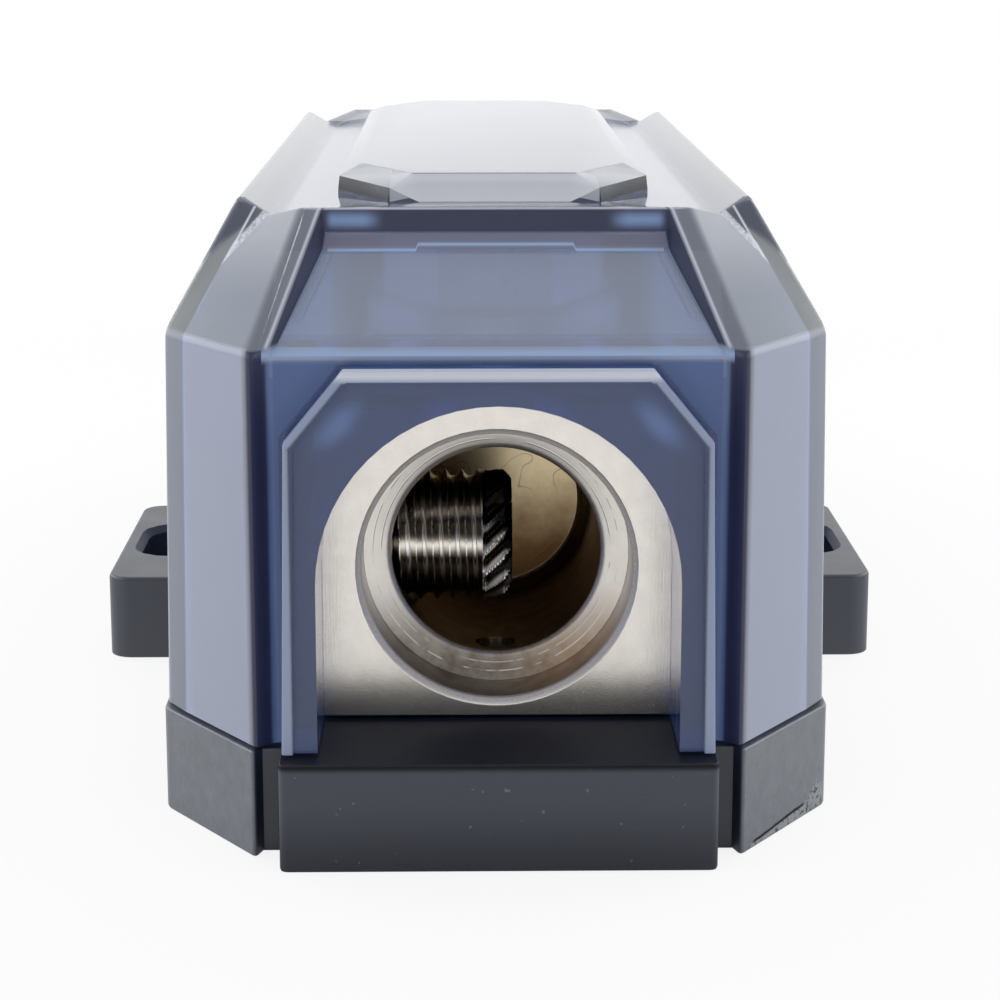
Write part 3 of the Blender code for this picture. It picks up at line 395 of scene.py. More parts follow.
def plated_brass():
    finish, place = start_finish("satin_nickel")
    x, y, z = coordinates(place)
    setback, up = from_end(y), z - BORE_AXIS_HEIGHT
    radius = (x * x + up * up) ** 0.5
    along_bore = swell(setback, MOUTH_FLOOR + 0.2, MOUTH_FLOOR + 0.9, BORE_END + 0.2, BORE_END + 0.6)
    in_bore = along_bore * (1 - rise(radius, BORE_RADIUS, BORE_RADIUS + 0.3))
    in_mouth = rise(setback, BLOCK_FACE + 0.05, BLOCK_FACE + 0.5)
    in_mouth = in_mouth * (1 - rise(radius, MOUTH_RADIUS, MOUTH_RADIUS + 0.4))
    mottle = noise(place, 0.9, 4.0, 0.6)
    fine = noise(place, 7.0, 3.0, 0.6)
    satin = noise(stretched(place, 14.0, 14.0, 0.6), 1.0, 3.0, 0.6)
    turned_place = place.node("ShaderNodeCombineXYZ", None, {"X": radius * 5.0, "Y": setback * 5.0})
    turned = noise(turned_place, 1.0, 3.0, 0.7)
    stain = rise(mottle, 0.3, 0.75)
    nickel = tint(mottle, shade(220, 214, 206), shade(240, 236, 229))
    # The mouth: browned low down, with a paler lip outside it.
    low_side = rise(-up, 1.5, 6.5)
    brown = tint(rise(x, -1.0, 6.0), shade(104, 90, 76), shade(176, 144, 108))
    colour = tint(in_mouth * low_side * (0.6 + 0.3 * stain), nickel, brown)
    outer_lip = near(radius, MOUTH_RADIUS + 0.1, 0.45) * within(setback, BLOCK_FACE + 0.02, BLOCK_FACE + 0.7)
    colour = tint(outer_lip, colour, shade(222, 216, 208))
    # The bore: oily walls, and a tan end wall with fine cracks. Its lightening towards the top is painted
    # light, and the bright ring along its edge is a painted highlight.
    warm = tint(mottle, shade(150, 130, 106), shade(190, 174, 152))
    oil = tint(stain, shade(96, 86, 68), shade(132, 118, 94))
    walls = tint(rise(-up, 1.0, 4.0), warm, oil)
    # Painted light: over its stain, the end wall goes from dark tan low down to near white at the top.
    end_wall_stain_and_light = tint(rise(up + 3.0 * mottle, -2.5, 5.0), shade(138, 105, 71), shade(255, 236, 194))
    crack = 0.5 * near(noise(place, 0.45, 1.0, 0.5), 0.47, 0.01) * rise(up, 0.0, 1.0)
    end_wall_stain_and_light = tint(crack, end_wall_stain_and_light, shade(70, 54, 38))
    end_wall = rise(setback, BORE_END - 1.3, BORE_END - 0.6)
    # Painted highlight: a bright ring along the end wall's edge.
    end_ring_highlight = near(radius, BORE_END_RADIUS + 0.05, 0.14) * end_wall
    end_wall_stain_and_light = tint(end_ring_highlight, end_wall_stain_and_light, shade(250, 232, 196))
    colour = tint(in_bore, colour, tint(end_wall, walls, end_wall_stain_and_light))
    # The burr: two broken bright rings on the floor of the mouth.
    broken = rise(noise(place, 0.8, 2.0), 0.42, 0.55)
    rings = near(radius, MOUTH_RADIUS - 0.55, 0.06) + near(radius, MOUTH_RADIUS - 1.05, 0.05)
    burr = rings * near(setback, MOUTH_FLOOR, 0.9) * broken
    colour = tint(burr * 0.9, colour, shade(246, 240, 228))
    height = satin * (1 - in_mouth) * 0.5 + turned * in_mouth + fine * 0.35 + burr * 2.0
    surface(finish, {
        "Base Color": colour,
        "Metallic": 1.0 - 0.75 * outer_lip,
        "Roughness": 0.2 + 0.1 * fine + 0.1 * in_mouth,
        "Normal": bumped(height, 0.012, 0.6),
    })
    return finish


nickel_finish = plated_brass()
for end in ("front", "rear"):
    block = eased(new_piece(end + "_block", welded(end + "_terminal_block")), 0.22)
    fit(block, end + "_terminal_block", nickel_finish)


# Clamp screws
# One M8 screw at each end, with a fine 1 mm thread, pinches the cable in the bore. It is turned from steel,
# with a six-sided key socket in its outer end and a tip that is knurled on the slant to bite the strands.

SCREW_SETBACK = 17.4
SCREW_LENGTH = 12.0
SCREW_RADIUS = 4.0
SCREW_REACH = 1.0
SCREW_CORE = 3.2
HEAD_CHAMFER = 0.6
TIP_CHAMFER = 0.45
THREAD_PITCH = 1.0
THREAD_DEPTH = 0.42
KNURL_START = 10.2
KNURL_LEAD = 0.2
KNURL_TEETH = 16
KNURL_DEPTH = 0.6
KNURL_LEAN = radians(48.0)
KEY_RADIUS = 4.0 / sqrt(3)
KEY_DEPTH = 4.0
AROUND = 144
ROWS_PER_PITCH = 14


def screw_blank():
    """A plain turned screw along +Z from the key end to the tip, with rings close enough for a thread."""
    rows = round(SCREW_LENGTH * ROWS_PER_PITCH / THREAD_PITCH)
    socket = [(0.0, KEY_DEPTH), (KEY_RADIUS, KEY_DEPTH), (KEY_RADIUS, 0.3), (KEY_RADIUS + 0.25, 0.0)]
    profile = [(radius, depth, 0 < i < 3) for i, (radius, depth) in enumerate(socket)]
    profile.append((SCREW_RADIUS - HEAD_CHAMFER - 0.1, 0.0, False))
    for row in range(1, rows):
        depth = SCREW_LENGTH * row / rows
        chamfer = max(0.0, HEAD_CHAMFER - depth) + max(0.0, depth - SCREW_LENGTH + TIP_CHAMFER)
        profile.append((SCREW_RADIUS - chamfer, depth, False))
    cup = [(SCREW_RADIUS - TIP_CHAMFER - 0.05, 0.0), (2.7, 0.0), (2.5, -0.7), (0.8, -1.0), (0.0, -1.0)]
    profile += [(radius, SCREW_LENGTH + drop, False) for radius, drop in cup]
    mesh = bmesh.new()
    rings = []
    for radius, depth, six_sided in profile:
        ring = []
        for i in range(AROUND):
            angle = 2 * pi * i / AROUND
            reach = radius
            if six_sided:
                reach = radius * cos(pi / 6) / cos(angle % (pi / 3) - pi / 6)
            ring.append(mesh.verts.new((reach * cos(angle), reach * sin(angle), depth)))
        rings.append(ring)
    for lower, upper in zip(rings, rings[1:]):
        for i in range(AROUND):
            j = (i + 1) % AROUND
            mesh.faces.new((lower[i], lower[j], upper[j], upper[i]))
    bmesh.ops.scale(mesh, vec=(MM, MM, MM), verts=mesh.verts)
    bmesh.ops.remove_doubles(mesh, verts=mesh.verts, dist=WELD)
    bmesh.ops.recalc_face_normals(mesh, faces=mesh.faces)
    return mesh


def new_tree(name, sizes):
    """A Geometry Nodes tree with a named input for each size, and its sockets by name."""
    tree = bpy.data.node_groups.new(name, "GeometryNodeTree")
    tree.interface.new_socket("Geometry", in_out="INPUT", socket_type="NodeSocketGeometry")
    for size in sizes:
        tree.interface.new_socket(size, in_out="INPUT", socket_type="NodeSocketFloat")
    tree.interface.new_socket("Finish", in_out="INPUT", socket_type="NodeSocketMaterial")
    tree.interface.new_socket("Geometry", in_out="OUTPUT", socket_type="NodeSocketGeometry")
    source = tree.nodes.new("NodeGroupInput")
    return tree, {out.name: Socket(tree, out) for out in source.outputs if out.name}


def close_tree(tree, shape, finish):
    """Ends a tree in Realize Instances and Set Material."""
    real = shape.node("GeometryNodeRealizeInstances", None, {"Geometry": shape})
    coated = real.node("GeometryNodeSetMaterial", None, {"Geometry": real, "Material": finish})
    out = tree.nodes.new("NodeGroupOutput")
    tree.links.new(coated.output, out.inputs["Geometry"])


def apply_tree(piece, tree, sizes, finish):
    """Runs a tree on a piece with its sizes, set by the sockets' identifiers, and keeps the plain mesh."""
    modifier = piece.modifiers.new(tree.name, "NODES")
    modifier.node_group = tree
    values = {**sizes, "Finish": finish}
    for item in tree.interface.items_tree:
        if item.in_out == "INPUT" and item.name in values:
            modifier[item.identifier] = values[item.name]
    return settled(piece)


def fraction(value):
    """What is left of a value over the whole number below it."""
    return value.math("FRACT", value)


def screw_cutting():
    """Cuts a helical thread and a slanted knurl into a turned blank."""
    names = ["Core", "Pitch", "Thread depth", "Knurl start", "Teeth", "Knurl depth", "Knurl twist"]
    tree, given = new_tree("screw_cutting", names)
    blank = given["Geometry"]
    place = blank.node("GeometryNodeInputPosition")
    x, y, z = coordinates(place)
    radius = (x * x + y * y) ** 0.5
    turn = y.math("ARCTAN2", y, x) / (2 * pi)
    shank = (radius > given["Core"]) * (z > 0.0)
    winding = fraction(z / given["Pitch"] - turn)
    flank = either(abs(winding * 2 - 1) * 1.1 - 0.1, 0.0)
    root = 1 - (1 - flank) ** 2.0
    lead = rise(z, 0.2 * MM, 0.9 * MM)
    thread = root * given["Thread depth"] * lead * (z < given["Knurl start"])
    slant = (turn + z * given["Knurl twist"]) * given["Teeth"]
    tooth = abs(fraction(slant) * 2 - 1)
    knurl_lead = rise(z, given["Knurl start"], given["Knurl start"] + KNURL_LEAD * MM)
    knurl = tooth * given["Knurl depth"] * knurl_lead
    cut = (thread + knurl) * shank
    inwards = place.node("ShaderNodeCombineXYZ", None, {"X": -x * cut / radius, "Y": -y * cut / radius})
    shape = blank.node("GeometryNodeSetPosition", None, {"Geometry": blank, "Offset": inwards})
    close_tree(tree, shape, given["Finish"])
    return tree


def clamp_steel():
    finish, place = start_finish("clamp_steel")
    x, y, z = coordinates(place)
    along, up = from_end(y) - SCREW_SETBACK, z - BORE_AXIS_HEIGHT
    radius = (along * along + up * up) ** 0.5
    crest = rise(radius, SCREW_RADIUS - 0.42, SCREW_RADIUS - 0.12)
    streak = noise(stretched(place, 6.0, 1.0, 1.0), 2.0, 3.0)
    smear = noise(place, 0.8, 3.0, 0.6)
    # Painted highlights: the thread is bright in two bands, one along the axis and a weaker one above it, and
    # darker elsewhere as painted shade.
    height = up + 0.5 * (smear - 0.5)
    clean = near(height, 0.15, 0.8) + 0.5 * near(height, 2.35, 0.6)
    thread_shade = tint(smear, shade(104, 98, 90), shade(150, 143, 133))
    thread = tint(clean, thread_shade, shade(244, 240, 234))
    # Painted shade in the knurl's grooves and painted highlights on its crests, except high up on the screw.
    teeth = tint(crest * (1 - rise(up, 0.6, 1.8)), shade(40, 37, 33), shade(232, 227, 219))
    towards_tip = x * y.math("SIGN", y) * -1.0
    at_tip = towards_tip > SCREW_REACH - SCREW_LENGTH + KNURL_START
    surface(finish, {
        "Base Color": tint(at_tip, thread, teeth),
        "Metallic": 1.0,
        "Roughness": 0.12 + 0.12 * smear,
        "Normal": bumped(streak, 0.006, 0.5),
    })
    return finish


steel_finish = clamp_steel()
cutting_tree = screw_cutting()
thread_sizes = {
    "Core": SCREW_CORE * MM,
    "Pitch": THREAD_PITCH * MM,
    "Thread depth": THREAD_DEPTH * MM,
    "Knurl start": KNURL_START * MM,
    "Teeth": float(KNURL_TEETH),
    "Knurl depth": KNURL_DEPTH * MM,
    "Knurl twist": tan(KNURL_LEAN) / (2 * pi * SCREW_RADIUS * MM),
}
for end, half_turn in (("front", 0.0), ("rear", pi)):
    screw = new_piece(end + "_clamp_screw", screw_blank())
    apply_tree(screw, cutting_tree, thread_sizes, steel_finish)
    head = Vector((SCREW_REACH - SCREW_LENGTH, SCREW_SETBACK - HALF_LENGTH, BORE_AXIS_HEIGHT)) * MM
    lay_down = Matrix.Translation(head) @ Matrix.Rotation(pi / 2, 4, "Y")
    screw.data.transform(Matrix.Rotation(half_turn, 4, "Z") @ lay_down)
    screw.data.shade_smooth()
    screw.data.set_sharp_from_angle(angle=SMOOTH_ANGLE)
    fit(screw, end + "_set_screw", steel_finish)


# Fuse
# A stamped and plated strip with two wide tabs and a thin link that melts. Two black moulded halves, riveted
# together over it, make the body, with a clear pane to see whether it has blown.


def plated_strip():
    finish, place = start_finish("bright_strip")
    grain = noise(stretched(place, 8.0, 0.8, 8.0), 1.0, 3.0)
    surface(finish, {
        "Base Color": tint(noise(place, 0.5, 3.0), shade(206, 196, 176), shade(226, 219, 203)),
        "Metallic": 1.0,
        "Roughness": 0.25 + 0.15 * grain,
        "Normal": bumped(grain, 0.006, 0.5),
    })
    return finish


def fuse_black():
    finish, place = start_finish("fuse_moulding")
    grain = noise(place, 3.5, 3.0, 0.6)
    surface(finish, {
        "Base Color": tint(grain, shade(40, 40, 43), shade(54, 54, 58)),
        "Roughness": 0.42 + 0.16 * grain,
        "Normal": bumped(grain, 0.03, 0.6),
    })
    return finish


def clear_pane():
    finish, place = start_finish("clear_pane")
    haze = noise(place, 0.7, 3.0)
    surface(finish, {
        "Base Color": tint(haze, shade(222, 228, 228), shade(238, 242, 242)),
        "Roughness": 0.06 + 0.1 * haze,
        "Alpha": 0.3,
    })
    return finish


def zinc(name, low, high):
    finish, place = start_finish(name)
    brush = noise(stretched(place, 1.0, 9.0, 1.0), 1.4, 3.0, 0.6)
    patch = noise(place, 0.6, 3.0)
    surface(finish, {
        "Base Color": tint(patch, low, high),
        "Metallic": 1.0,
        "Roughness": 0.22 + 0.16 * brush,
        "Normal": bumped(brush, 0.008, 0.5),
    })
    return finish


strip = eased(new_piece("link_strip", welded("fuse_link")), 0.12, 2)
fit(strip, "fuse_link", plated_strip())
body_finish = fuse_black()
for half in ("lower", "upper"):
    shell = eased(new_piece("fuse_shell_" + half, welded("fuse_body_" + half)), 0.1, 2)
    fit(shell, "fuse_body_" + half, body_finish)
pane = eased(new_piece("sight_pane", welded("fuse_window")), 0.15, 2)
fit(pane, "fuse_window", clear_pane())
small_finish = zinc("rivet_zinc", shade(178, 174, 166), shade(214, 211, 205))
for number in range(1, 5):
    rivet = eased(new_piece(f"rivet_{number}", welded(f"fuse_rivet_{number}")), 0.1, 2)
    fit(rivet, f"fuse_rivet_{number}", small_finish)


# Block screws
# One small blackened steel screw at each end comes up through the base and is tightened into its block from
# below. The end of its hole shows in the floor of the bore, and the screw's near-black colour there is also
# painted shade for that hole.

# Near black: blackened steel, and painted shade for the hole in the bore floor.
oxide_and_hole_shade_finish = zinc("black_oxide_and_hole_shade", shade(16, 16, 17), shade(30, 30, 32))
for end in ("front", "rear"):
    small = eased(new_piece(end + "_base_screw", welded(end + "_block_screw")), 0.08, 2)
    fit(small, end + "_block_screw", oxide_and_hole_shade_finish)


# Bolts and washers
# A hexagon bolt, screwed into the block over a wide flat washer, holds each tab of the fuse down. Both are
# steel, cold-formed and stamped, under bright zinc plate.

bolt_finish = zinc("bolt_zinc", shade(196, 196, 194), shade(224, 224, 222))
for end in ("front", "rear"):
    for part in ("fuse_bolt", "flat_washer"):
        piece = eased(new_piece(f"{end}_{part}_zinc", welded(f"{end}_{part}")), 0.12)
        fit(piece, f"{end}_{part}", bolt_finish)


# Cover
# One hollow moulding in smoke-blue clear plastic, 1.8 mm thick, that lifts off the base. Its walls are
# polished, its rounded corners gather light, and the recessed windows show the bolt heads. Much of the
# light and shade on its faces, edges and corners is painted, as a matt shader laid over the glass by place.

SMOKE_TINT = (0.1, 0.3, 0.68, 1.0)
SMOKE_DENSITY = 265.0
FOOT = 6.55
FOOT_HALF = 19.6
SHOULDER = 29.0
SHOULDER_HALF = 19.15
RIDGE_TOP = 36.0
RIDGE_HALF = 15.4
CORNER_BACK = 11.3
RIDGE_SETBACK = 18.9
BAND_WIDTH = 1.25
SILL = 28.7
WINDOW_HALF = 10.2
WINDOW_SPREAD = 2.7
WINDOW_RUN = 11.7
WINDOW_DRAFT = 0.3
PANE_FOOT = 3.6
PANE_SLOPE = 2.087
PANE_TOP = 33.4
FRAME_TOP = 35.8
FRAME_SETBACK = 14.2
DECK_TOP = 35.6
PANEL_EDGE = 36.45
PANEL_TOP = 37.0
PANEL_SETBACK = 18.2
HOOD_HALF = 12.15
HOOD_TOP = 28.2
HOOD_CORNER = (3.3, 4.0)
GLINT = (8.8, 25.2)
# Painted shade for narrow walls seen edge-on.
EDGE_SHADE = shade(38, 40, 66)
NO_PAINTED_LIGHT = (0.5, 0.5, 0.5, 1.0)


def between(value, start, end):
    """Runs straight from one (value, result) pair to another and stays level beyond them."""
    inputs = {"Value": value, "From Min": start[0], "From Max": end[0], "To Min": start[1], "To Max": end[1]}
    return value.node("ShaderNodeMapRange", None, inputs)


def lesser(value, other):
    """The smaller of two values."""
    return value.math("MINIMUM", value, other)


class CoverSpot:
    """A place on the cover in millimetres, and how it lies to the lines that the painted light and shade
    follow.
    """

    def __init__(self, place):
        x, y, self.z = coordinates(place)
        self.across, self.setback = abs(x), from_end(y)
        self.under_shoulder = 1 - rise(self.z, SHOULDER, SHOULDER + 0.2)
        self.on_hip = rise(self.z, SHOULDER - 0.1, SHOULDER + 0.3) * (self.setback < FRAME_SETBACK + 1.4)
        corner_back = between(self.z, (SHOULDER, CORNER_BACK), (RIDGE_TOP, RIDGE_SETBACK))
        self.at_corner = 1 - rise(self.setback - corner_back, -0.1, 0.3)

    def inside_hood(self):
        """How far the place is from the outline of the hood's face."""
        across, down = HOOD_CORNER
        off_side, off_top = HOOD_HALF - self.across, HOOD_TOP - self.z
        off_corner = (off_side * down + off_top * across - across * down) / hypot(across, down)
        return lesser(lesser(off_side, off_top), off_corner)

    def beside_window(self):
        """How far the place is outside the side wall of the recessed window."""
        down = between(self.z, (FRAME_TOP, 0.0), (SHOULDER, 1.0))
        front = FRAME_SETBACK - WINDOW_RUN * down
        half = WINDOW_HALF + WINDOW_SPREAD * down - WINDOW_DRAFT * (self.setback - front)
        return self.across - half

    def inside_corner(self):
        """How far the place is inside the line where each corner turns to the side wall."""
        wall_half = between(self.z, (FOOT, FOOT_HALF), (SHOULDER, SHOULDER_HALF))
        drawn_in = between(self.z, (SHOULDER, 0.0), (RIDGE_TOP, SHOULDER_HALF - RIDGE_HALF))
        return wall_half - drawn_in - self.across

    def glint(self):
        """How far the place is from the long spots of light on the hood's upper corners."""
        aside, above = (self.across - GLINT[0]) * 0.7, (self.z - GLINT[1]) * 0.7
        return ((aside + above) ** 2.0 * 0.9 + (aside - above) ** 2.0 * 0.18) ** 0.5


def face_layers(spot, place):
    """Painted light and shade on the flat faces and on the rounded corners, as (mask, strength, colour)."""
    across, setback, z = spot.across, spot.setback, spot.z
    edge, inside, hood = spot.beside_window(), spot.inside_corner(), spot.inside_hood()
    pane_front = PANE_FOOT + (z - SILL) * PANE_SLOPE
    pane = near(setback, pane_front, 0.35) * within(z, SILL, PANE_TOP) * (edge < -0.05)
    pane_haze_and_light = tint(rise(across, 7.6, 10.0), shade(150, 162, 184), shade(168, 192, 226))
    wall = rise(inside, BAND_WIDTH, BAND_WIDTH + 0.15) * rise(across, 13.8, 14.2) * (setback > 2.0)
    wall = wall * spot.at_corner * spot.under_shoulder
    side = (inside < 0.6) * (1 - spot.at_corner) * spot.under_shoulder
    facet = (inside > 0.9) * (edge > 0.15) * spot.at_corner * (z > SHOULDER + 0.1)
    facet_light = tint(rise(z, 31.0, 35.5), shade(146, 153, 164), shade(188, 191, 198))
    shoulder_face = within(setback, 2.2, 3.8) * (z < SILL - 0.3) * (hood < -0.02) * (across < 12.9)
    hood_face = (hood > 0.4) * within(setback, 1.2, 1.7)
    lit = hood_face * (1 - rise(spot.glint(), 0.1, 1.1))
    band = (1 - rise(inside, BAND_WIDTH - 0.05, BAND_WIDTH + 0.08)) * spot.at_corner
    band_reflection = tint(spot.under_shoulder, shade(112, 117, 120), shade(128, 133, 144))
    band_highlight = near(inside, 1.34, 0.12) * spot.at_corner * spot.under_shoulder
    # The pocket at the top of each corner: painted shade inside it, a speckled pale border of painted
    # reflection and a painted highlight along its outline.
    depth = (across - 16.1 + z - 32.4) / sqrt(2)
    pocket = rise(depth, -0.02, 0.05) * (1 - band) * (z > 32.4) * (setback < 19.0) * (across > 13.2)
    speckle = rise(noise(place, 5.0, 2.0, 0.7), 0.35, 0.6)
    border = tint(speckle, shade(150, 154, 166), shade(226, 229, 236))
    pocket_shade_and_light = tint(rise(depth, 0.3, 0.4), border, shade(66, 70, 84))
    # The pane's haze is partly the plastic's own and partly painted light, lighter to the sides. Painted
    # light: the pale walls and sides, the facets lighter to the top, and the grey band as painted reflection.
    # Painted shade: the darker hood face. Painted highlights: the spots of light on the hood and the bright
    # lines.
    return [
        (pane, 0.14, pane_haze_and_light),
        (wall, 0.5, shade(184, 190, 208)),
        (side, 0.28, shade(176, 184, 206)),
        (facet, 0.7, facet_light),
        (shoulder_face, 0.45, shade(98, 124, 172)),
        (hood_face, 0.25, shade(96, 104, 128)),
        (lit, 0.4, shade(124, 150, 200)),
        (band, 0.93 - 0.13 * spot.under_shoulder, band_reflection),
        (band_highlight, 0.6, shade(168, 178, 214)),
        (pocket, 0.75, pocket_shade_and_light),
        (pocket * near(inside, 1.36, 0.14), 0.8, shade(222, 226, 232)),
    ]


def roof_layers(spot):
    """Painted light and shade on the hips, on the ledges over the windows and on the raised panel's ends."""
    across, setback, z = spot.across, spot.setback, spot.z
    edge = spot.beside_window()
    bead = spot.on_hip * (edge > 0.12) * (1 - rise(edge, 0.9, 1.6))
    ledge = within(setback, 13.3, 14.1) * within(z, 33.3, 34.5) * (edge < 0.0)
    ramp = within(z, DECK_TOP + 0.05, PANEL_TOP - 0.05) * (across < 6.5) * within(setback, 18.3, 22.6)
    bar = (z > 35.4) * within(setback, FRAME_SETBACK + 0.05, 15.7) * (across < 11.3)
    panel_corner = within(z, DECK_TOP + 0.05, PANEL_TOP - 0.03) * (abs(across - 8.2) < 1.9)
    panel_corner = panel_corner * within(setback, PANEL_SETBACK, 27.5)
    # Painted reflection: the grey bead, the greyish ledge and the pale ramp. Painted highlights: the bar and
    # the top of each panel corner. Painted shade: the lower part of each panel corner.
    return [
        (bead, 0.65, shade(112, 118, 128)),
        (ledge, 0.6, shade(116, 114, 132)),
        (ramp, 0.55, shade(214, 217, 226)),
        (bar, 0.5, shade(190, 193, 198)),
        (panel_corner * (z < PANEL_EDGE), 0.97, shade(20, 22, 32)),
        (panel_corner * (z > PANEL_EDGE), 0.5, shade(200, 204, 210)),
    ]


def edge_layers(spot):
    """Painted shade and highlights on narrow walls and edges, which show as dark or bright lines."""
    across, setback, z = spot.across, spot.setback, spot.z
    edge, hood = spot.beside_window(), spot.inside_hood()
    window_side = near(edge, -0.02, 0.16) * spot.on_hip
    inner_corner = swell(across, 12.6, 12.9, 13.75, 14.15) * within(setback, 2.0, 4.4) * spot.under_shoulder
    top_wall = near(setback, FRAME_SETBACK, 0.22) * within(z, 34.3, 35.7) * (edge < 0.0)
    top_ends = top_wall * swell(across, 6.4, 7.9, 9.5, 10.1) * near(z, 35.0, 0.75)
    tab = 1 - rise(across, 4.5, 4.7)
    pane_line = near(z, 33.36 + 0.3 * tab, 0.16) * within(setback, 12.6, 13.7) * (across < 9.8)
    sill = near(z, SILL + 0.05, 0.55) * within(setback, 1.6, 4.4) * (across < 13.0)
    rim = (1 - rise(hood, 0.5, 0.72)) * (setback < 2.3)
    # Painted shade: the window sides, the inner corners and the top walls. Painted light: the top walls' ends
    # and the hood's rim. Painted highlights: the line beside each window, the pane's top line, the sill and
    # the rim's top.
    return [
        (either(window_side, inner_corner), 0.92, EDGE_SHADE),
        (top_wall, 0.8, shade(54, 57, 82)),
        (top_ends, 0.8, shade(140, 168, 214)),
        (near(edge, 0.2, 0.16) * spot.on_hip, 0.8, shade(196, 202, 214)),
        (pane_line, 0.8, shade(160, 186, 224)),
        (sill, 0.85, shade(146, 168, 206)),
        (rim, 0.75, shade(156, 168, 194)),
        (rim * near(z, HOOD_TOP - 0.2, 0.5), 0.88, shade(212, 217, 228)),
    ]


def painted_light_of(place):
    """The painted light and shade over the glass, as a colour and how much it hides what is behind."""
    spot = CoverSpot(place)
    colour, amount = NO_PAINTED_LIGHT, 0.0
    for mask, strength, paint in face_layers(spot, place) + roof_layers(spot) + edge_layers(spot):
        colour = tint(mask, colour, paint)
        amount = amount + (strength - amount) * mask
    return colour, amount


def smoke_plastic():
    finish, place = start_finish("smoke_blue")
    tree = finish.node_tree
    spot = CoverSpot(place)
    across, setback, z = spot.across, spot.setback, spot.z
    cloud = noise(place, 0.25, 3.0)
    ripple = noise(place, 1.1, 2.0)
    valley = swell(across, 12.6, 14.4, 14.2, 15.6) * (z > 34.4) * (setback > 18.0)
    in_hood = (across < 12.4) * (z < HOOD_TOP + 0.3) * (setback < 8.6)
    in_window = (across < 12.6) * within(z, SILL - 1.2, 33.6) * within(setback, 2.8, 16.0)
    body = tint(cloud, shade(158, 170, 196), shade(174, 187, 210))
    body = tint(in_window, body, shade(214, 222, 236))
    surface(finish, {
        "Base Color": tint(in_hood, body, shade(120, 142, 190)),
        "Roughness": 0.09 + 0.05 * cloud,
        "IOR": 1.5,
        "Transmission Weight": 0.82,
        "Normal": bumped(0.012 * ripple + 0.5 * valley, 1.0, 0.5),
    })
    # Painted light and shade: a matt shader in the painted colours is mixed over the glass where the layers
    # lie.
    colour, amount = painted_light_of(place)
    matt = {"Base Color": colour, "Roughness": 0.45, "Specular IOR Level": 0.3}
    painted_light_shader = place.node("ShaderNodeBsdfPrincipled", None, matt)
    glass = Socket(tree, tree.nodes["Principled BSDF"].outputs[0])
    glass_with_painted_light = place.node("ShaderNodeMixShader", None, {0: amount, 1: glass, 2: painted_light_shader})
    # Lamps shine through the cover, so that its shadow stays light.
    clear = glass.node("ShaderNodeBsdfTransparent", None, {"Color": shade(235, 238, 246)})
    lamp_ray = glass.node("ShaderNodeLightPath").also("Is Shadow Ray")
    mixed = glass.node("ShaderNodeMixShader", None, {0: lamp_ray, 1: glass_with_painted_light, 2: clear})
    smoke = glass.node("ShaderNodeVolumeAbsorption", None, {"Color": SMOKE_TINT, "Density": SMOKE_DENSITY})
    ends = tree.nodes["Material Output"].inputs
    tree.links.new(mixed.output, ends["Surface"])
    tree.links.new(smoke.output, ends["Volume"])
    return finish


cover = eased(new_piece("smoke_cover_shell", welded("clear_cover")), 0.28)
fit(cover, "clear_cover", smoke_plastic())


# Studio
# A pale table in a white light tent, which is open, and so darker, on the camera's side. Two long boxes of
# light stand at its sides and a faint one behind. The camera sees the tent as plain white.

ROOM_LEVEL = 0.8
OPEN_SIDE_LEVEL = 0.35

tent = bpy.data.worlds.new("light_tent")
bpy.context.scene.world = tent
tent.use_nodes = True
sky = tent.node_tree.nodes["Background"]
way = Socket(tent.node_tree, tent.node_tree.nodes.new("ShaderNodeTexCoord").outputs["Generated"])
towards_back = coordinates(way)[1]
mirrored_room = OPEN_SIDE_LEVEL + (1 - OPEN_SIDE_LEVEL) * rise(towards_back, -0.98, -0.6)
paths = way.node("ShaderNodeLightPath")
seen, shone = paths.also("Is Camera Ray"), paths.also("Is Diffuse Ray")
level = seen + (1 - seen) * (ROOM_LEVEL * shone + (1 - shone) * mirrored_room)
feed(tent.node_tree, sky, {"Color": (1.0, 1.0, 1.0, 1.0), "Strength": level})


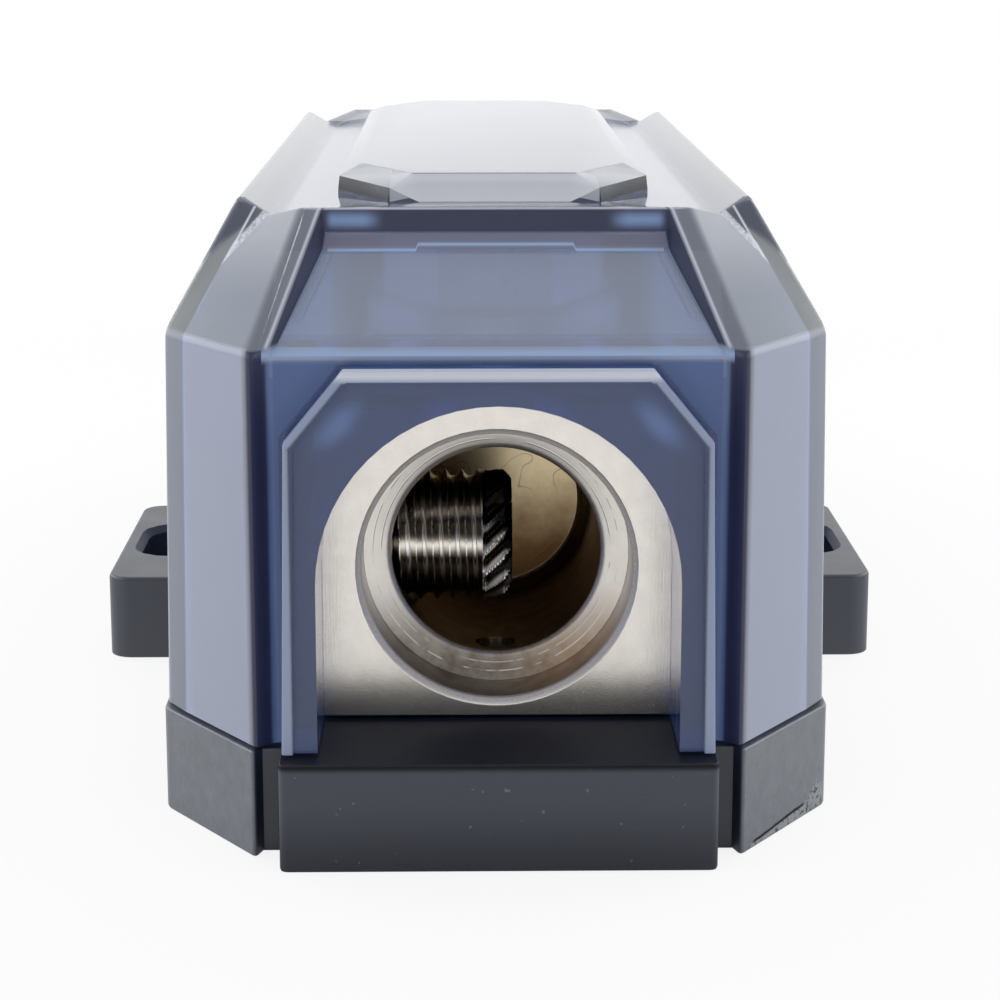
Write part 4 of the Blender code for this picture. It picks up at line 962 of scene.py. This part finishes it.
def softbox(name, place, size, radiance):
    """A lamp that faces level across the holder's middle. The camera doesn't see it."""
    data = bpy.data.lights.new(name, "AREA")
    data.shape = "RECTANGLE"
    data.size, data.size_y = (side * MM for side in size)
    data.energy = radiance * pi * data.size * data.size_y
    lamp = bpy.data.objects.new(name, data)
    lamp.location = Vector(place) * MM
    inwards = Vector((0.0, 0.0, place[2])) * MM - lamp.location
    lamp.rotation_euler = inwards.to_track_quat("-Z", "Y").to_euler()
    lamp.visible_camera = False
    bpy.context.scene.collection.objects.link(lamp)


softbox("left_box", (-120.0, 15.0, 66.0), (220.0, 70.0), 1.8)
softbox("right_box", (120.0, 15.0, 66.0), (220.0, 70.0), 1.8)
softbox("back_box", (0.0, 330.0, 80.0), (420.0, 140.0), 0.2)

TABLE_HALF = 3000.0 * MM
table_mesh = bmesh.new()
bmesh.ops.create_grid(table_mesh, x_segments=1, y_segments=1, size=TABLE_HALF)
table = new_piece("table", table_mesh)
table_finish, table_place = start_finish("pale_table")
surface(table_finish, {"Base Color": shade(244, 244, 244), "Roughness": 0.8})
table_tree = table_finish.node_tree
matt = Socket(table_tree, table_tree.nodes["Principled BSDF"].outputs[0])
glow = matt.node("ShaderNodeEmission", None, {"Color": (1.0, 1.0, 1.0, 1.0), "Strength": 1.0})
table_paths = matt.node("ShaderNodeLightPath")
mirrored = table_paths.also("Is Glossy Ray") + table_paths.also("Is Transmission Ray")
x, y, _ = coordinates(table_place)
far = rise((x * x + y * y) ** 0.5, 70.0, 200.0)
# Painted shade: mirrored rays see the table darker just in front of the nose, which darkens the reflections
# low on the nose's front.
painted_shade_before_nose = (1 - rise(abs(y + HALF_LENGTH), 0.0, 75.0)) * (1 - rise(abs(x), 14.0, 34.0))
mirrored = mirrored * (1 - 0.7 * painted_shade_before_nose)
white = table_paths.also("Is Camera Ray") * (0.85 + 0.15 * far) + mirrored
lit = matt.node("ShaderNodeMixShader", None, {0: white, 1: matt, 2: glow})
table_tree.links.new(lit.output, table_tree.nodes["Material Output"].inputs["Surface"])
table.data.materials.append(table_finish)
